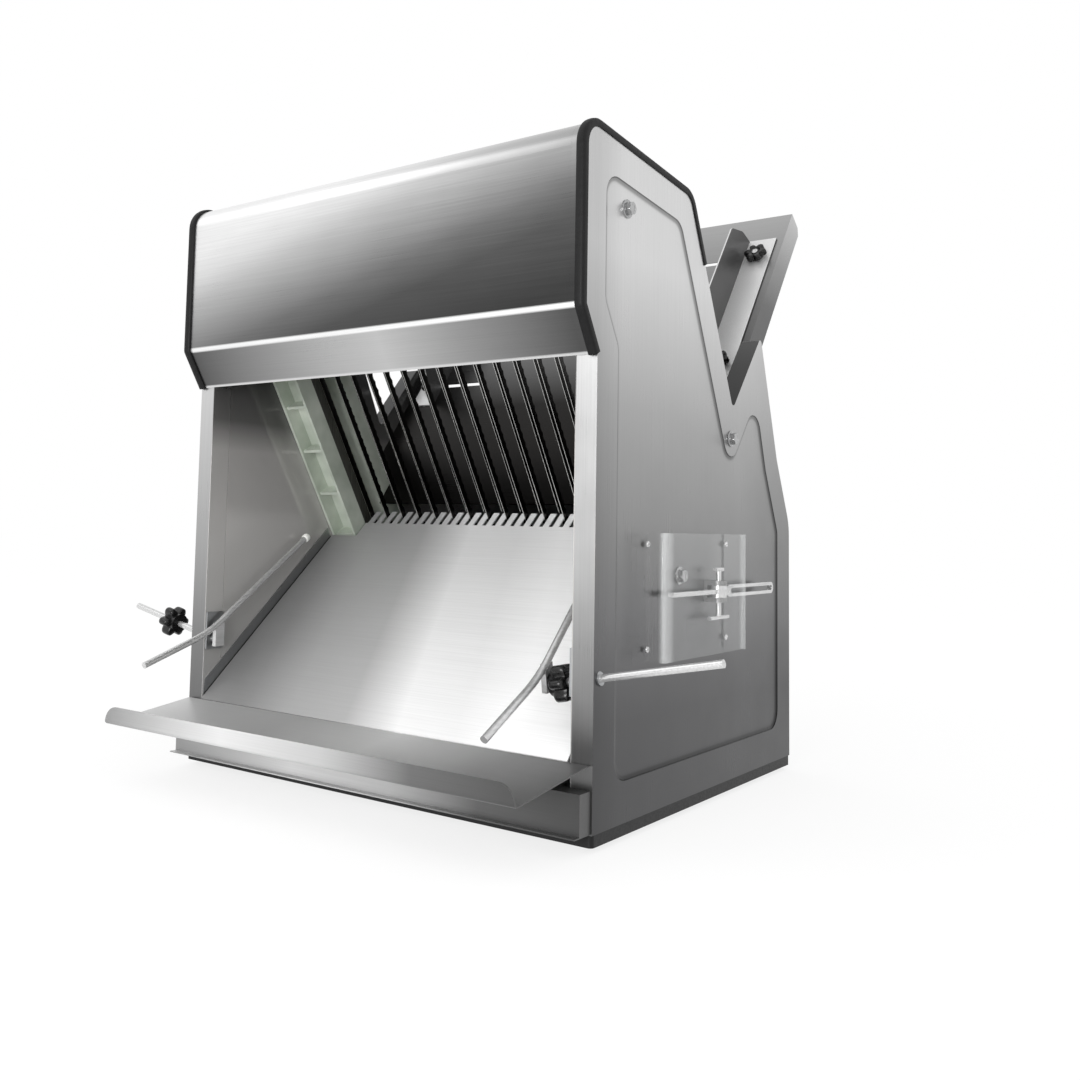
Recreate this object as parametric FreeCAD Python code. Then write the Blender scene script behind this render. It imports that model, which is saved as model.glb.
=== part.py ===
import FreeCAD, Part
import math
import os

os.makedirs("parts", exist_ok=True)

Vec = FreeCAD.Vector

# Bread slicer with two reciprocating blade frames, in millimetres.
# X runs across, Y runs back from the front flanges of the side panels, Z runs up from the floor.
# The finished pieces are shifted along Y so that the origin lies under the middle of the machine.

# Casing
casing_width = 600.0
casing_depth = 515.0
panel_thickness = 25.0
panel_sheet = 1.5
liner_sheet = 1.5
front_return = 28.0
base_top = 18.0
lip_height = 486.0
hood_overhang = 27.5
hood_fold_height = 531.0
hood_fold_radius = 5.0
hood_front_height = 722.0
hood_brow_radius = 27.0
hood_rear_y = 211.0
hood_rear_height = 701.0
hood_rear_radius = 25.0
notch_y = 329.0
notch_height = 462.0
notch_radius = 6.0
peak_y = 417.0
peak_height = 565.0
peak_radius = 5.0
waist_y = 472.0
waist_height = 408.0
back_height = 323.0
waist_radius = 60.0

# Pressed recess in the outer skin of each side panel
recess_inset = 43.0
recess_radius = 22.0
recess_depth = 2.0
recess_draft = 1.6

# Clearances
seat_gap = 0.3
slide_gap = 0.3
cut_beyond = 1.0
shaft_fit = 0.05

# Hood cover, rubber trims and throat plate
hood_sheet = 1.5
hood_hem = 11.0
trim_width = 16.0
trim_rise = 5.0
trim_lip = 4.0
trim_side = 1.5
cover_back_length = 84.0
throat_lap = 24.0
throat_length = 121.0
throat_roll_radius = 4.0

# Knife line, where the infeed plate, the discharge slope and the blades meet
knife_y = 266.0
knife_height = 330.0
blade_lean = 58.5
infeed_rise = 53.33
infeed_length = 556.0
infeed_start = 16.0
infeed_sheet = 1.5
infeed_flange = 35.0
infeed_flange_start = 66.0
infeed_chamfer = 8.5

# Discharge slope and tray
tray_sheet = 1.5
tray_fold_y = -5.0
tray_fold_height = 84.0
tray_front = 128.0
tray_low = 66.0
tray_lip_top = 88.0
tray_width = 594.0
tray_bend_radius = 3.0
tray_corner_radius = 20.0
tray_lap = 30.0
slope_side_gap = 2.0
comb_slot_width = 6.0
comb_slot_length = 25.0

# Blades
blade_pitch = 15.0
blade_count = 31
blade_width = 10.0
blade_thickness = 0.8
blade_offset = 2.0
blade_clip_length = 10.0
blade_clip_width = 4.0

# Blade frames and the columns that guide them
stroke = 20.0
frame_top = 262.0
frame_bottom = 75.0
bar_thickness = 9.0
bar_lip = 16.0
bar_lip_thickness = 6.0
column_half = 23.7
column_width = 23.0
column_top = 292.0
column_bottom = 132.0
arm_width = 46.0
arm_depth = 26.0
arm_wall = 4.0
arm_rib_pitch = 68.0
arm_side_gap = 1.0
frame_middle_gap = 1.5

# Crank drive
rod_x = 80.0
rod_thickness = 12.0
rod_shank = 14.0
rod_eye_wall = 7.0
rod_pin_radius = 6.0
lug_thickness = 8.0
crank_drop = 200.0
crank_pin_radius = 8.0
crank_shaft_radius = 10.0
crank_disc_radius = 34.0
crank_disc_thickness = 10.0
bearing_x = 42.0
bearing_radius = 21.0
bearing_width = 12.0
stand_sheet = 8.0
stand_length = 52.0
stand_half_width = 52.0
stand_foot = 5.0
pulley_radius = 55.0
pulley_width = 18.0
belt_top_width = 10.0
belt_bottom_width = 6.5
belt_thickness = 7.0
belt_proud = 1.0

# Motor
motor_back_gap = 70.0
motor_radius = 55.0
motor_lift = 12.0
motor_start_x = -50.0
motor_length = 185.0
motor_bell = 24.0
motor_fin = 4.5
motor_fin_count = 14
motor_fin_thickness = 3.0
motor_nose_radius = 22.0
motor_nose_length = 12.0
motor_shaft_radius = 8.0
motor_shaft_sink = 18.0
motor_pulley_radius = 24.0
terminal_length = 56.0
terminal_width = 44.0
terminal_rise = 20.0
mount_sheet = 4.0
mount_rib = 10.0
mount_half_depth = 46.0

# Base pan, feet and rear cover
pan_sheet = 2.5
pan_skirt = 12.0
foot_radius = 19.0
foot_x = 258.0
foot_inset = 38.0
cover_sheet = 1.5
louvre_count = 8
louvre_pitch = 22.0
louvre_length = 120.0
louvre_height = 8.0
louvre_rise = 4.0
louvre_first = 110.0
gland_x = -205.0
gland_z = 58.0
gland_radius = 8.0
gland_nut = 13.0
gland_length = 22.0

# Crumb drawer
drawer_sheet = 1.2
drawer_front_depth = 20.0
drawer_front_width = 596.0
drawer_front_low = 19.0
drawer_front_top = 60.0
drawer_depth = 290.0
drawer_wall_top = 52.0
drawer_side_gap = 2.5
drawer_pull = 9.0

# Infeed loaf guides
guide_fin_x = 222.0
guide_base_width = 42.0
guide_sheet = 2.0
guide_fin_height = 57.0
guide_start = 210.0
guide_end = 503.0
guide_fin_slant = 34.0
guide_inward = 100.0
guide_outward = 6.0
guide_knob_low = 251.0
guide_knob_high = 465.0
guide_knob_x = 244.0
infeed_knob_radius = 16.0
infeed_knob_height = 12.0
infeed_stud_radius = 3.0
infeed_stud_tail = 10.0
clamp_plate = 16.0
clamp_thickness = 4.0
slot_clearance = 0.6

# Discharge guide rods, seen from the right-hand side and turned on their cross studs
rod_radius = 4.0
left_rod_x = 262.0
right_rod_x = 240.0
stud_y = 12.0
stud_z = 166.0
stud_slant = 11.5
stud_end_x = 429.0
rod_bend_y = -4.0
rod_bend_z = 169.3
rod_bend_radius = 170.0
rod_upper_length = 204.0
rod_upper_angle = 36.0
rod_lower_length = 103.0
rod_lower_angle = 18.8
right_rod_turn = 9.0
link_half = 7.0
link_thickness = 6.0
rod_tip_radius = 5.5
rod_tip_length = 9.0
rod_knob_radius = 20.0
rod_knob_height = 22.0
left_knob_x = 339.0
right_knob_x = 246.0
bush_radius = 7.0
bush_plate = 3.0
bush_plate_low = 147.0
bush_plate_high = 194.0
bush_proud = 1.2

# Clear guard, side lever and clamp screw on the right-hand panel
guard_front = 101.0
guard_back = 313.0
guard_low = 175.0
guard_top = 309.0
guard_depth = 27.0
guard_sheet = 3.0
guard_flange = 12.0
guard_bend = 5.0
lever_x = 312.0
lever_z = 243.0
lever_pivot_y = 262.0
lever_front = 140.0
lever_back = 420.0
lever_width = 6.0
lever_bar = 5.0
lever_loop_height = 14.0
lever_loop_wire = 4.0
lever_loop_start = 290.0
lever_boss_radius = 9.0
screw_radius = 3.0
screw_low = 213.0
screw_high = 268.0
screw_low_grip = 50.0
screw_high_grip = 20.0
screw_grip_radius = 2.5
ear_thickness = 5.0
ear_half_width = 9.0
bracket_sheet = 4.0

# Bolts in the side panels
bolt_flats = 13.0
bolt_head = 6.0
bolt_washer_radius = 10.0
bolt_washer = 1.6
bolt_corner_drop = 24.0
bolt_corner_reach = 45.7
bolt_notch_drop = 37.0
bolt_side_y = 188.0
bolt_side_z = 262.0

# Switch box on the left-hand panel
switch_y = 165.0
switch_z = 352.0
switch_width = 62.0
switch_height = 116.0
switch_depth = 26.0
switch_edge = 6.0
button_radius = 12.0
button_pitch = 48.0
button_depth = 12.0
button_proud = 5.0
button_travel = 3.0

half_width = casing_width / 2
inner_x = half_width - panel_thickness
recess_x = half_width - recess_depth
clear_x = inner_x - seat_gap
rod_eye = rod_pin_radius + rod_eye_wall
rod_pin_drop = frame_bottom + 2 * stroke + rod_eye + 2 * frame_middle_gap


def heading(angle):
    """Unit direction in the side view, measured up from straight back."""
    return math.cos(math.radians(angle)), math.sin(math.radians(angle))


def way(start, end):
    """Unit direction from one side-view point to another."""
    length = math.hypot(end[0] - start[0], end[1] - start[1])
    return (end[0] - start[0]) / length, (end[1] - start[1]) / length


def along(point, direction, distance, radius=0.0):
    """Side-view point at a distance from another one, with a corner radius."""
    return point[0] + direction[0] * distance, point[1] + direction[1] * distance, radius


def crossing(point, direction, other, other_direction):
    """Side-view point where two lines meet."""
    det = direction[1] * other_direction[0] - direction[0] * other_direction[1]
    dy = other[0] - point[0]
    dz = other[1] - point[1]
    distance = (dz * other_direction[0] - dy * other_direction[1]) / det
    return along(point, direction, distance)


knife_line = (knife_y, knife_height)
down_blade = heading(-blade_lean)
ahead_blade = (down_blade[1], -down_blade[0])
up_infeed = heading(infeed_rise)
off_infeed = (-up_infeed[1], up_infeed[0])
tray_fold = (tray_fold_y, tray_fold_height)
up_slope = way(tray_fold, knife_line)
off_slope = (-up_slope[1], up_slope[0])
slope_length = math.hypot(knife_y - tray_fold_y, knife_height - tray_fold_height)


def placed(origin, first, second, a, b, radius):
    """Side-view point from two distances along two directions."""
    y = origin[0] + first[0] * a + second[0] * b
    z = origin[1] + first[1] * a + second[1] * b
    return y, z, radius


def knife(drop, ahead, radius=0.0):
    """Point in the blade plane: down the blades, then out to the front."""
    return placed(knife_line, down_blade, ahead_blade, drop, ahead, radius)


def ramp(up, off, radius=0.0):
    """Point on the infeed plate: up its surface, then out towards the loaf."""
    return placed(knife_line, up_infeed, off_infeed, up, off, radius)


def slope(up, off, radius=0.0):
    """Point on the discharge slope: up from the tray fold, then off its surface."""
    return placed(tray_fold, up_slope, off_slope, up, off, radius)


def rectangle(place, a_low, a_high, b_low, b_high):
    """Four corners in one of the slanted frames above."""
    return [place(a_low, b_low), place(a_high, b_low), place(a_high, b_high), place(a_low, b_high)]


def level(y, z, radius=0.0):
    """Plain side-view point."""
    return y, z, radius


def shifted(path, offset, closed=False):
    """Path moved sideways to its left, with its bend radii kept concentric."""
    moved = []
    for index, corner in enumerate(path):
        before = path[index - 1] if closed or index > 0 else None
        after = path[(index + 1) % len(path)] if closed or index < len(path) - 1 else None
        arrive = way(before, corner) if before else way(corner, after)
        leave = way(corner, after) if after else arrive
        turn = arrive[0] * leave[1] - arrive[1] * leave[0]
        share = offset / (1 + arrive[0] * leave[0] + arrive[1] * leave[1])
        y = corner[0] - (arrive[1] + leave[1]) * share
        z = corner[1] + (arrive[0] + leave[0]) * share
        radius = corner[2]
        if radius > 0:
            radius = max(radius - math.copysign(offset, turn * offset), 0.0)
        moved.append((y, z, radius))
    return moved


def bend(before, corner, after):
    """Start, middle and end of the arc that rounds one corner, or the bare corner."""
    arrive = way(before, corner)
    leave = way(corner, after)
    angle = math.acos(max(-1.0, min(1.0, arrive[0] * leave[0] + arrive[1] * leave[1])))
    if corner[2] < 0.01 or angle < 0.001:
        return [corner]
    reach = corner[2] * math.tan(angle / 2)
    start = along(corner, arrive, -reach)
    end = along(corner, leave, reach)
    middle = ((start[0] + end[0]) / 2, (start[1] + end[1]) / 2)
    inward = way(corner, middle)
    sagitta = corner[2] / math.cos(angle / 2) - corner[2]
    return [start, along(corner, inward, sagitta), end]


def at(point, x):
    """Side-view point carried to a place across the machine."""
    return Vec(x, point[0], point[1])


def wire_at(path, x):
    """Closed outline in the side view, with its corners rounded."""
    count = len(path)
    bends = [bend(path[i - 1], path[i], path[(i + 1) % count]) for i in range(count)]
    edges = []
    last = bends[-1][-1]
    for arc in bends:
        if math.hypot(arc[0][0] - last[0], arc[0][1] - last[1]) > 0.001:
            edges.append(Part.LineSegment(at(last, x), at(arc[0], x)).toShape())
        if len(arc) == 3:
            edges.append(Part.Arc(at(arc[0], x), at(arc[1], x), at(arc[2], x)).toShape())
        last = arc[-1]
    return Part.Wire(edges)


def prism(path, x_low, x_high):
    """Side-view outline extruded across the machine."""
    return Part.Face(wire_at(path, x_low)).extrude(Vec(x_high - x_low, 0, 0))


def strip(path, thickness, x_low, x_high):
    """Bent sheet that follows a side-view path, on its left where the thickness is positive."""
    return prism(path + shifted(path, thickness)[::-1], x_low, x_high)


def box(x_low, x_high, y_low, y_high, z_low, z_high):
    """Upright block between six faces."""
    return Part.makeBox(x_high - x_low, y_high - y_low, z_high - z_low, Vec(x_low, y_low, z_low))


def rod_across(radius, x_low, x_high, point):
    """Round bar along X."""
    return Part.makeCylinder(radius, x_high - x_low, Vec(x_low, point[0], point[1]), Vec(1, 0, 0))


def mirrored(shape):
    """The same piece on the other side of the machine."""
    return shape.mirror(Vec(0, 0, 0), Vec(1, 0, 0))


def joined(shapes):
    """One solid from pieces that meet."""
    return shapes[0].fuse(shapes[1:]).removeSplitter()


def both_sides(shape):
    """A piece and its mirror image."""
    return [shape, mirrored(shape)]


def side_outline():
    """Outline of a side panel, from the bottom front corner up, over the hood and down the back."""
    return [
        level(0.0, base_top),
        level(0.0, lip_height),
        level(-hood_overhang, hood_fold_height, hood_fold_radius),
        level(-hood_overhang, hood_front_height, hood_brow_radius),
        level(hood_rear_y, hood_rear_height, hood_rear_radius),
        level(notch_y, notch_height, notch_radius),
        level(peak_y, peak_height, peak_radius),
        level(waist_y, waist_height, waist_radius),
        level(casing_depth, back_height, waist_radius),
        level(casing_depth, base_top),
    ]


def recess_outline(outset):
    """Outline of the pressed recess, a steady distance inside the panel's edge."""
    inset = shifted(side_outline(), -recess_inset, True)
    rounded = [level(y, z, recess_radius) for y, z, radius in inset]
    return shifted(rounded, outset, True)


def stud_axis(side):
    """Middle of a cross stud at the outer skin, and its direction outwards and up."""
    lean = math.radians(stud_slant)
    return Vec(side * half_width, stud_y, stud_z), Vec(side * math.cos(lean), 0, math.sin(lean))


def on_stud(side, x):
    """Point on a cross stud at a distance from the middle of the machine."""
    centre, outward = stud_axis(side)
    return centre + outward * ((x - half_width) / abs(outward.x))


def stud_bar(side, radius, x_low, x_high):
    """Round bar on the axis of a cross stud."""
    start = on_stud(side, x_low)
    end = on_stud(side, x_high)
    return Part.makeCylinder(radius, (end - start).Length, start, end - start)


def side_panel_right():
    """Outer skin with a pressed recess, a rim all round and a return behind the front flange."""
    skin_x = half_width - panel_sheet
    panel = prism(side_outline(), inner_x, half_width)
    panel = panel.cut(prism(shifted(side_outline(), -panel_sheet, True), inner_x - cut_beyond, skin_x))
    panel = panel.fuse(prism(recess_outline(panel_sheet), recess_x - panel_sheet, skin_x))
    draft_at_skin = recess_draft * (recess_depth + panel_sheet) / recess_depth
    mouth = wire_at(recess_outline(draft_at_skin), half_width + panel_sheet)
    floor = wire_at(recess_outline(0.0), recess_x)
    panel = panel.cut(Part.makeLoft([mouth, floor], True, True))
    panel = panel.fuse(box(inner_x, inner_x + panel_sheet, 0, front_return, base_top, lip_height))
    return panel.cut(stud_bar(1, bush_radius + seat_gap, inner_x - 9, half_width + 9)).removeSplitter()


def inner_liner_right():
    """Flat plate that closes the panel on the inside, behind the front return."""
    outline = shifted(side_outline(), -(panel_sheet + seat_gap), True)
    plate = prism(outline, inner_x, inner_x + liner_sheet)
    front = front_return + seat_gap
    corner = box(inner_x - cut_beyond, inner_x + liner_sheet + cut_beyond, -hood_overhang, front,
                 0, lip_height + seat_gap)
    return plate.cut(corner)


def hood_path(back_length):
    """Edge of the panels that the hood follows, from its lower lip to a point down the back."""
    outline = side_outline()
    rear = outline[4]
    end = along(rear, way(rear, outline[5]), back_length)
    return [outline[1], outline[2], outline[3], rear, end]


def hood_cover():
    """One folded sheet over the panels, with a hem along the lower lip."""
    path = hood_path(cover_back_length)
    half = half_width - trim_width
    cover = strip(path, hood_sheet, -half, half)
    hem_path = [path[0], along(path[0], way(path[0], path[1]), hood_hem)]
    return joined([cover, strip(hem_path, -hood_sheet, -clear_x, clear_x)])


def hood_trim_right():
    """Rubber edge strip on the panel's rim, with a lip down its outer face."""
    path = hood_path(cover_back_length)
    bead = strip(path, trim_rise, half_width - trim_width + seat_gap, half_width)
    lip_path = shifted(path, -trim_lip)
    lip = strip(lip_path, trim_rise + trim_lip, half_width, half_width + trim_side)
    return joined([bead, lip])


def throat_plate():
    """Sheet that carries the back of the hood down to the loaf opening, ending in a roll."""
    path = hood_path(throat_length)
    rear = path[3]
    down = way(rear, path[4])
    start = along(rear, down, cover_back_length - throat_lap)
    sheet = strip([start, path[4]], -hood_sheet, -clear_x, clear_x)
    inward = (down[1], -down[0])
    centre = along(path[4], inward, throat_roll_radius)
    return joined([sheet, rod_across(throat_roll_radius, -clear_x, clear_x, centre)])


def infeed_plate():
    """Loaf ramp with folded-back sides, knob slots and corners cut away for the rear blade frame."""
    sheet = prism(rectangle(ramp, infeed_start, infeed_length, -infeed_sheet, 0), -clear_x, clear_x)
    top = rectangle(ramp, infeed_length - infeed_sheet, infeed_length, -infeed_chamfer, 0)
    flange = [
        ramp(infeed_flange_start, 0),
        ramp(infeed_length, 0),
        ramp(infeed_length, infeed_chamfer - infeed_flange),
        ramp(infeed_length - infeed_chamfer, -infeed_flange),
        ramp(infeed_flange_start, -infeed_flange),
    ]
    sides = both_sides(prism(flange, clear_x - infeed_sheet, clear_x))
    plate = joined([sheet, prism(top, -clear_x, clear_x)] + sides)
    corner = rectangle(ramp, 0, infeed_flange_start, -infeed_flange, infeed_sheet)
    cuts = both_sides(prism(corner, arm_inner_x() - slope_side_gap, inner_x + cut_beyond))
    for up in (guide_knob_low, guide_knob_high):
        cuts += both_sides(knob_slot(up))
    return plate.cut(cuts)


def knob_slot(up):
    """Cutter for the slot that a guide's clamp stud runs in."""
    half = infeed_stud_radius + slot_clearance
    low = guide_knob_x - guide_inward - slot_clearance
    high = guide_knob_x + guide_outward + slot_clearance
    middle = prism(rectangle(ramp, up - half, up + half, -2 * infeed_sheet, infeed_sheet), low, high)
    direction = Vec(0, off_infeed[0], off_infeed[1])
    ends = []
    for x in (low, high):
        start = at(ramp(up, -2 * infeed_sheet), x)
        ends.append(Part.makeCylinder(half, 3 * infeed_sheet, start, direction))
    return middle.fuse(ends)


def arm_inner_x():
    """Inner face of the blade frames' side arms."""
    return inner_x - arm_side_gap - arm_width


def infeed_guide_right():
    """Angle that stands on the ramp beside the loaf, with two stud holes in its base."""
    base_path = rectangle(ramp, guide_start, guide_end, slide_gap, slide_gap + guide_sheet)
    base = prism(base_path, guide_fin_x, guide_fin_x + guide_base_width)
    fin = [
        ramp(guide_start, slide_gap),
        ramp(guide_end, slide_gap),
        ramp(guide_end - guide_fin_slant / 4, guide_fin_height / 2, guide_fin_slant / 2),
        ramp(guide_end - guide_fin_slant, guide_fin_height, guide_fin_slant / 3),
        ramp(guide_start + guide_fin_slant, guide_fin_height, guide_fin_slant / 3),
    ]
    guide = joined([base, prism(fin, guide_fin_x, guide_fin_x + guide_sheet)])
    direction = Vec(0, off_infeed[0], off_infeed[1])
    holes = []
    for up in (guide_knob_low, guide_knob_high):
        start = at(ramp(up, -infeed_sheet), guide_knob_x)
        holes.append(Part.makeCylinder(infeed_stud_radius + shaft_fit, 4 * guide_sheet, start, direction))
    return guide.cut(holes)


def guide_clamp_right():
    """Two square plates under the ramp that the clamp studs pull up."""
    top = -infeed_sheet - slide_gap
    direction = Vec(0, off_infeed[0], off_infeed[1])
    plates = []
    for up in (guide_knob_low, guide_knob_high):
        half = clamp_plate / 2
        outline = rectangle(ramp, up - half, up + half, top - clamp_thickness, top)
        plate = prism(outline, guide_knob_x - half, guide_knob_x + half)
        start = at(ramp(up, top - 2 * clamp_thickness), guide_knob_x)
        hole = Part.makeCylinder(infeed_stud_radius + shaft_fit, 3 * clamp_thickness, start, direction)
        plates.append(plate.cut(hole))
    return Part.makeCompound(plates)


def star_knob(radius, height):
    """Six-lobed grip on the Z axis, with a hub under it and a dished top."""
    lobes = 6
    lobe_radius = radius * 0.34
    ring = radius - lobe_radius
    valley = ring * math.cos(math.radians(180 / lobes)) - lobe_radius * 0.25
    step = 360 / lobes
    edges = []
    for index in range(lobes):
        spread = 21.0
        angles = [index * step - spread, index * step, index * step + spread, (index + 0.5) * step]
        distances = [radius * 0.93, radius, radius * 0.93, valley]
        points = [Vec(d * math.cos(math.radians(a)), d * math.sin(math.radians(a)), 0)
                  for a, d in zip(angles, distances)]
        following = math.radians((index + 1) * step - spread)
        joint = Vec(distances[0] * math.cos(following), distances[0] * math.sin(following), 0)
        edges.append(Part.Arc(points[0], points[1], points[2]).toShape())
        edges.append(Part.Arc(points[2], points[3], joint).toShape())
    grip = Part.Face(Part.Wire(edges)).extrude(Vec(0, 0, height * 0.72))
    grip.translate(Vec(0, 0, height * 0.28))
    hub = Part.makeCone(radius * 0.42, radius * 0.62, height * 0.28)
    dish = Part.makeCone(radius * 0.3, radius * 0.55, height * 0.14, Vec(0, 0, height * 0.86))
    return grip.fuse(hub).cut(dish)


def turned_to(shape, start, direction):
    """A piece made on the Z axis, stood at a point along a direction."""
    piece = shape.copy()
    piece.Placement = FreeCAD.Placement(start, FreeCAD.Rotation(Vec(0, 0, 1), direction))
    return piece


def infeed_knob_right(up):
    """Star knob with the stud that passes through the guide and the ramp."""
    low = -infeed_sheet - slide_gap - clamp_thickness - infeed_stud_tail
    seat = 2 * slide_gap + guide_sheet
    direction = Vec(0, off_infeed[0], off_infeed[1])
    knob = star_knob(infeed_knob_radius, infeed_knob_height)
    knob = turned_to(knob, at(ramp(up, seat), guide_knob_x), direction)
    start = at(ramp(up, low), guide_knob_x)
    return joined([knob, Part.makeCylinder(infeed_stud_radius, seat - low + cut_beyond, start, direction)])


def blade_places(first):
    """Places across the machine of every second blade."""
    low = -blade_pitch * (blade_count - 1) / 2
    return [low + blade_pitch * index for index in range(first, blade_count, 2)]


def discharge_slope():
    """Comb plate that the slices slide down, cut away for the frames and columns."""
    start = way_through_fold()[1]
    half = inner_x - slope_side_gap
    plate = prism(rectangle(slope, start, slope_length, -tray_sheet, 0), -half, half)
    cuts = []
    for x in blade_places(0) + blade_places(1):
        slot = rectangle(slope, slope_length - comb_slot_length, slope_length + cut_beyond,
                         -2 * tray_sheet, tray_sheet)
        cuts.append(prism(slot, x - comb_slot_width / 2, x + comb_slot_width / 2))
    reach = column_half + slide_gap + arm_depth + slope_side_gap
    notch = rectangle(slope, slope_length - reach / abs(slope_ahead()), slope_length + cut_beyond, -9, 9)
    cuts += both_sides(prism(notch, arm_inner_x() - slope_side_gap, inner_x))
    return plate.cut(cuts)


def slope_ahead():
    """How far the slope runs ahead of the blades for each millimetre of its length."""
    return up_slope[0] * ahead_blade[0] + up_slope[1] * ahead_blade[1]


def way_through_fold():
    """Fold of the tray under the slope's lower edge, and where the slope plate starts."""
    low_front = (-(tray_front - tray_sheet), tray_low + tray_sheet)
    floor_way = way(low_front, tray_fold)
    fold = crossing(low_front, floor_way, slope(0, -tray_sheet), up_slope)
    start = (fold[0] - tray_fold_y) * up_slope[0] + (fold[1] - tray_fold_height) * up_slope[1]
    return fold, start


def discharge_tray():
    """Tray with an upturned front lip and a lap that runs up under the slope."""
    fold = way_through_fold()[0]
    low_front = level(-(tray_front - tray_sheet), tray_low + tray_sheet, tray_bend_radius)
    lip = level(low_front[0], tray_lip_top)
    half = tray_width / 2
    floor = strip([lip, low_front, fold], -tray_sheet, -half, half)
    lap_start = along(fold, way(fold, low_front), 4 * tray_sheet)
    lap = strip([lap_start, fold, along(fold, up_slope, tray_lap)], -tray_sheet, -clear_x, clear_x)
    corner = tray_corner_radius
    cutter = box(half - corner, half + cut_beyond, -tray_front - cut_beyond, -tray_front + corner,
                 tray_lip_top - corner, tray_lip_top + cut_beyond)
    start = Vec(half - corner, -tray_front - cut_beyond, tray_lip_top - corner)
    keep = Part.makeCylinder(corner, corner + cut_beyond, start, Vec(0, 1, 0))
    return joined([floor, lap]).cut(both_sides(cutter.cut(keep)))


def crumb_drawer():
    """Sheet drawer on the base pan, with a hollow front and a pull along its lower edge."""
    floor_z = base_top + slide_gap
    half = inner_x - drawer_side_gap
    outer = box(-half, half, -drawer_sheet, drawer_depth, floor_z, drawer_wall_top)
    inner = box(-half + drawer_sheet, half - drawer_sheet, 0, drawer_depth - drawer_sheet,
                floor_z + drawer_sheet, drawer_wall_top + cut_beyond)
    front_half = drawer_front_width / 2
    back = -slide_gap
    front = box(-front_half, front_half, -drawer_front_depth, back, drawer_front_low, drawer_front_top)
    hollow = box(-front_half + drawer_sheet, front_half - drawer_sheet,
                 drawer_sheet - drawer_front_depth, back + cut_beyond,
                 drawer_front_low + drawer_sheet, drawer_front_top - drawer_sheet)
    floor_link = box(-half, half, drawer_sheet - drawer_front_depth, 0, floor_z, floor_z + drawer_sheet)
    back_plate = box(-half, half, back - drawer_sheet, back, floor_z, drawer_front_top)
    pull = box(-front_half, front_half, -drawer_front_depth - drawer_pull, -drawer_front_depth,
               drawer_front_low, drawer_front_low + drawer_sheet)
    return joined([outer.cut(inner), front.cut(hollow), floor_link, back_plate, pull])


def guide_column_right():
    """Hard slide column on the liner that both blade frames run against."""
    outline = rectangle(knife, -column_top, column_bottom, -column_half, column_half)
    return prism(outline, inner_x - column_width, inner_x)


def frame_arms(side):
    """Ribbed channel arms of one blade frame, which run on the guide columns."""
    web = side * (column_half + slide_gap)
    far = web + side * arm_depth
    inner = arm_inner_x()
    outer = inner_x - arm_side_gap
    channel = prism(rectangle(knife, -frame_top, frame_bottom, web, far), inner, outer)
    trough = rectangle(knife, bar_thickness - frame_top, frame_bottom - bar_thickness,
                       web + side * arm_wall, far + side * cut_beyond)
    pieces = [channel.cut(prism(trough, inner + arm_wall, outer - arm_wall))]
    drop = arm_rib_pitch - frame_top
    while drop < frame_bottom - arm_rib_pitch / 3:
        rib = rectangle(knife, drop, drop + arm_wall, web, far - side * arm_wall)
        pieces.append(prism(rib, inner, outer))
        drop += arm_rib_pitch
    return Part.makeCompound(both_sides(joined(pieces)))


def blade_frame(side):
    """Top and bottom bars of one blade frame, with their lips and the lug for its connecting rod."""
    web = side * (column_half + slide_gap)
    far = web + side * arm_depth
    near = side * frame_middle_gap
    lip = far - side * bar_lip_thickness
    inner = arm_inner_x()
    behind = inner_x - column_width - arm_side_gap
    bars = []
    for low, high, lip_low, lip_high in (
            (-frame_top, bar_thickness - frame_top, -frame_top, bar_lip - frame_top),
            (frame_bottom - bar_thickness, frame_bottom, frame_bottom - bar_lip, frame_bottom)):
        bars.append(joined([
            prism(rectangle(knife, low, high, near, web), -behind, behind),
            prism(rectangle(knife, low, high, web, far), -inner, inner),
            prism(rectangle(knife, lip_low, lip_high, lip, far), -inner, inner),
        ]))
    bars[1] = joined([bars[1], rod_lug(side)])
    return Part.makeCompound(bars)


def rod_lug(side):
    """Lug and pin under a blade frame that carry the top eye of its connecting rod."""
    outer_face = -side * (rod_x + rod_thickness / 2 + 2 * slide_gap)
    lug_face = outer_face - side * lug_thickness
    low = rod_pin_drop + rod_eye
    outline = [
        knife(frame_bottom, side * frame_middle_gap),
        knife(frame_bottom, side * (column_half + slide_gap)),
        knife(rod_pin_drop, side * rod_eye),
        knife(low, side * rod_eye, rod_eye - 1),
        knife(low, -side * rod_eye, rod_eye - 1),
        knife(rod_pin_drop - rod_eye, -side * rod_eye, rod_eye - 1),
        knife(rod_pin_drop - rod_eye, side * frame_middle_gap),
    ]
    lug = prism(outline, min(outer_face, lug_face), max(outer_face, lug_face))
    pin_end = -side * (rod_x - rod_thickness / 2 - 2)
    pin_low = min(pin_end, outer_face)
    pin_high = max(pin_end, outer_face)
    pin = rod_across(rod_pin_radius, pin_low, pin_high, knife(rod_pin_drop, 0))
    return joined([lug, pin])


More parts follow.
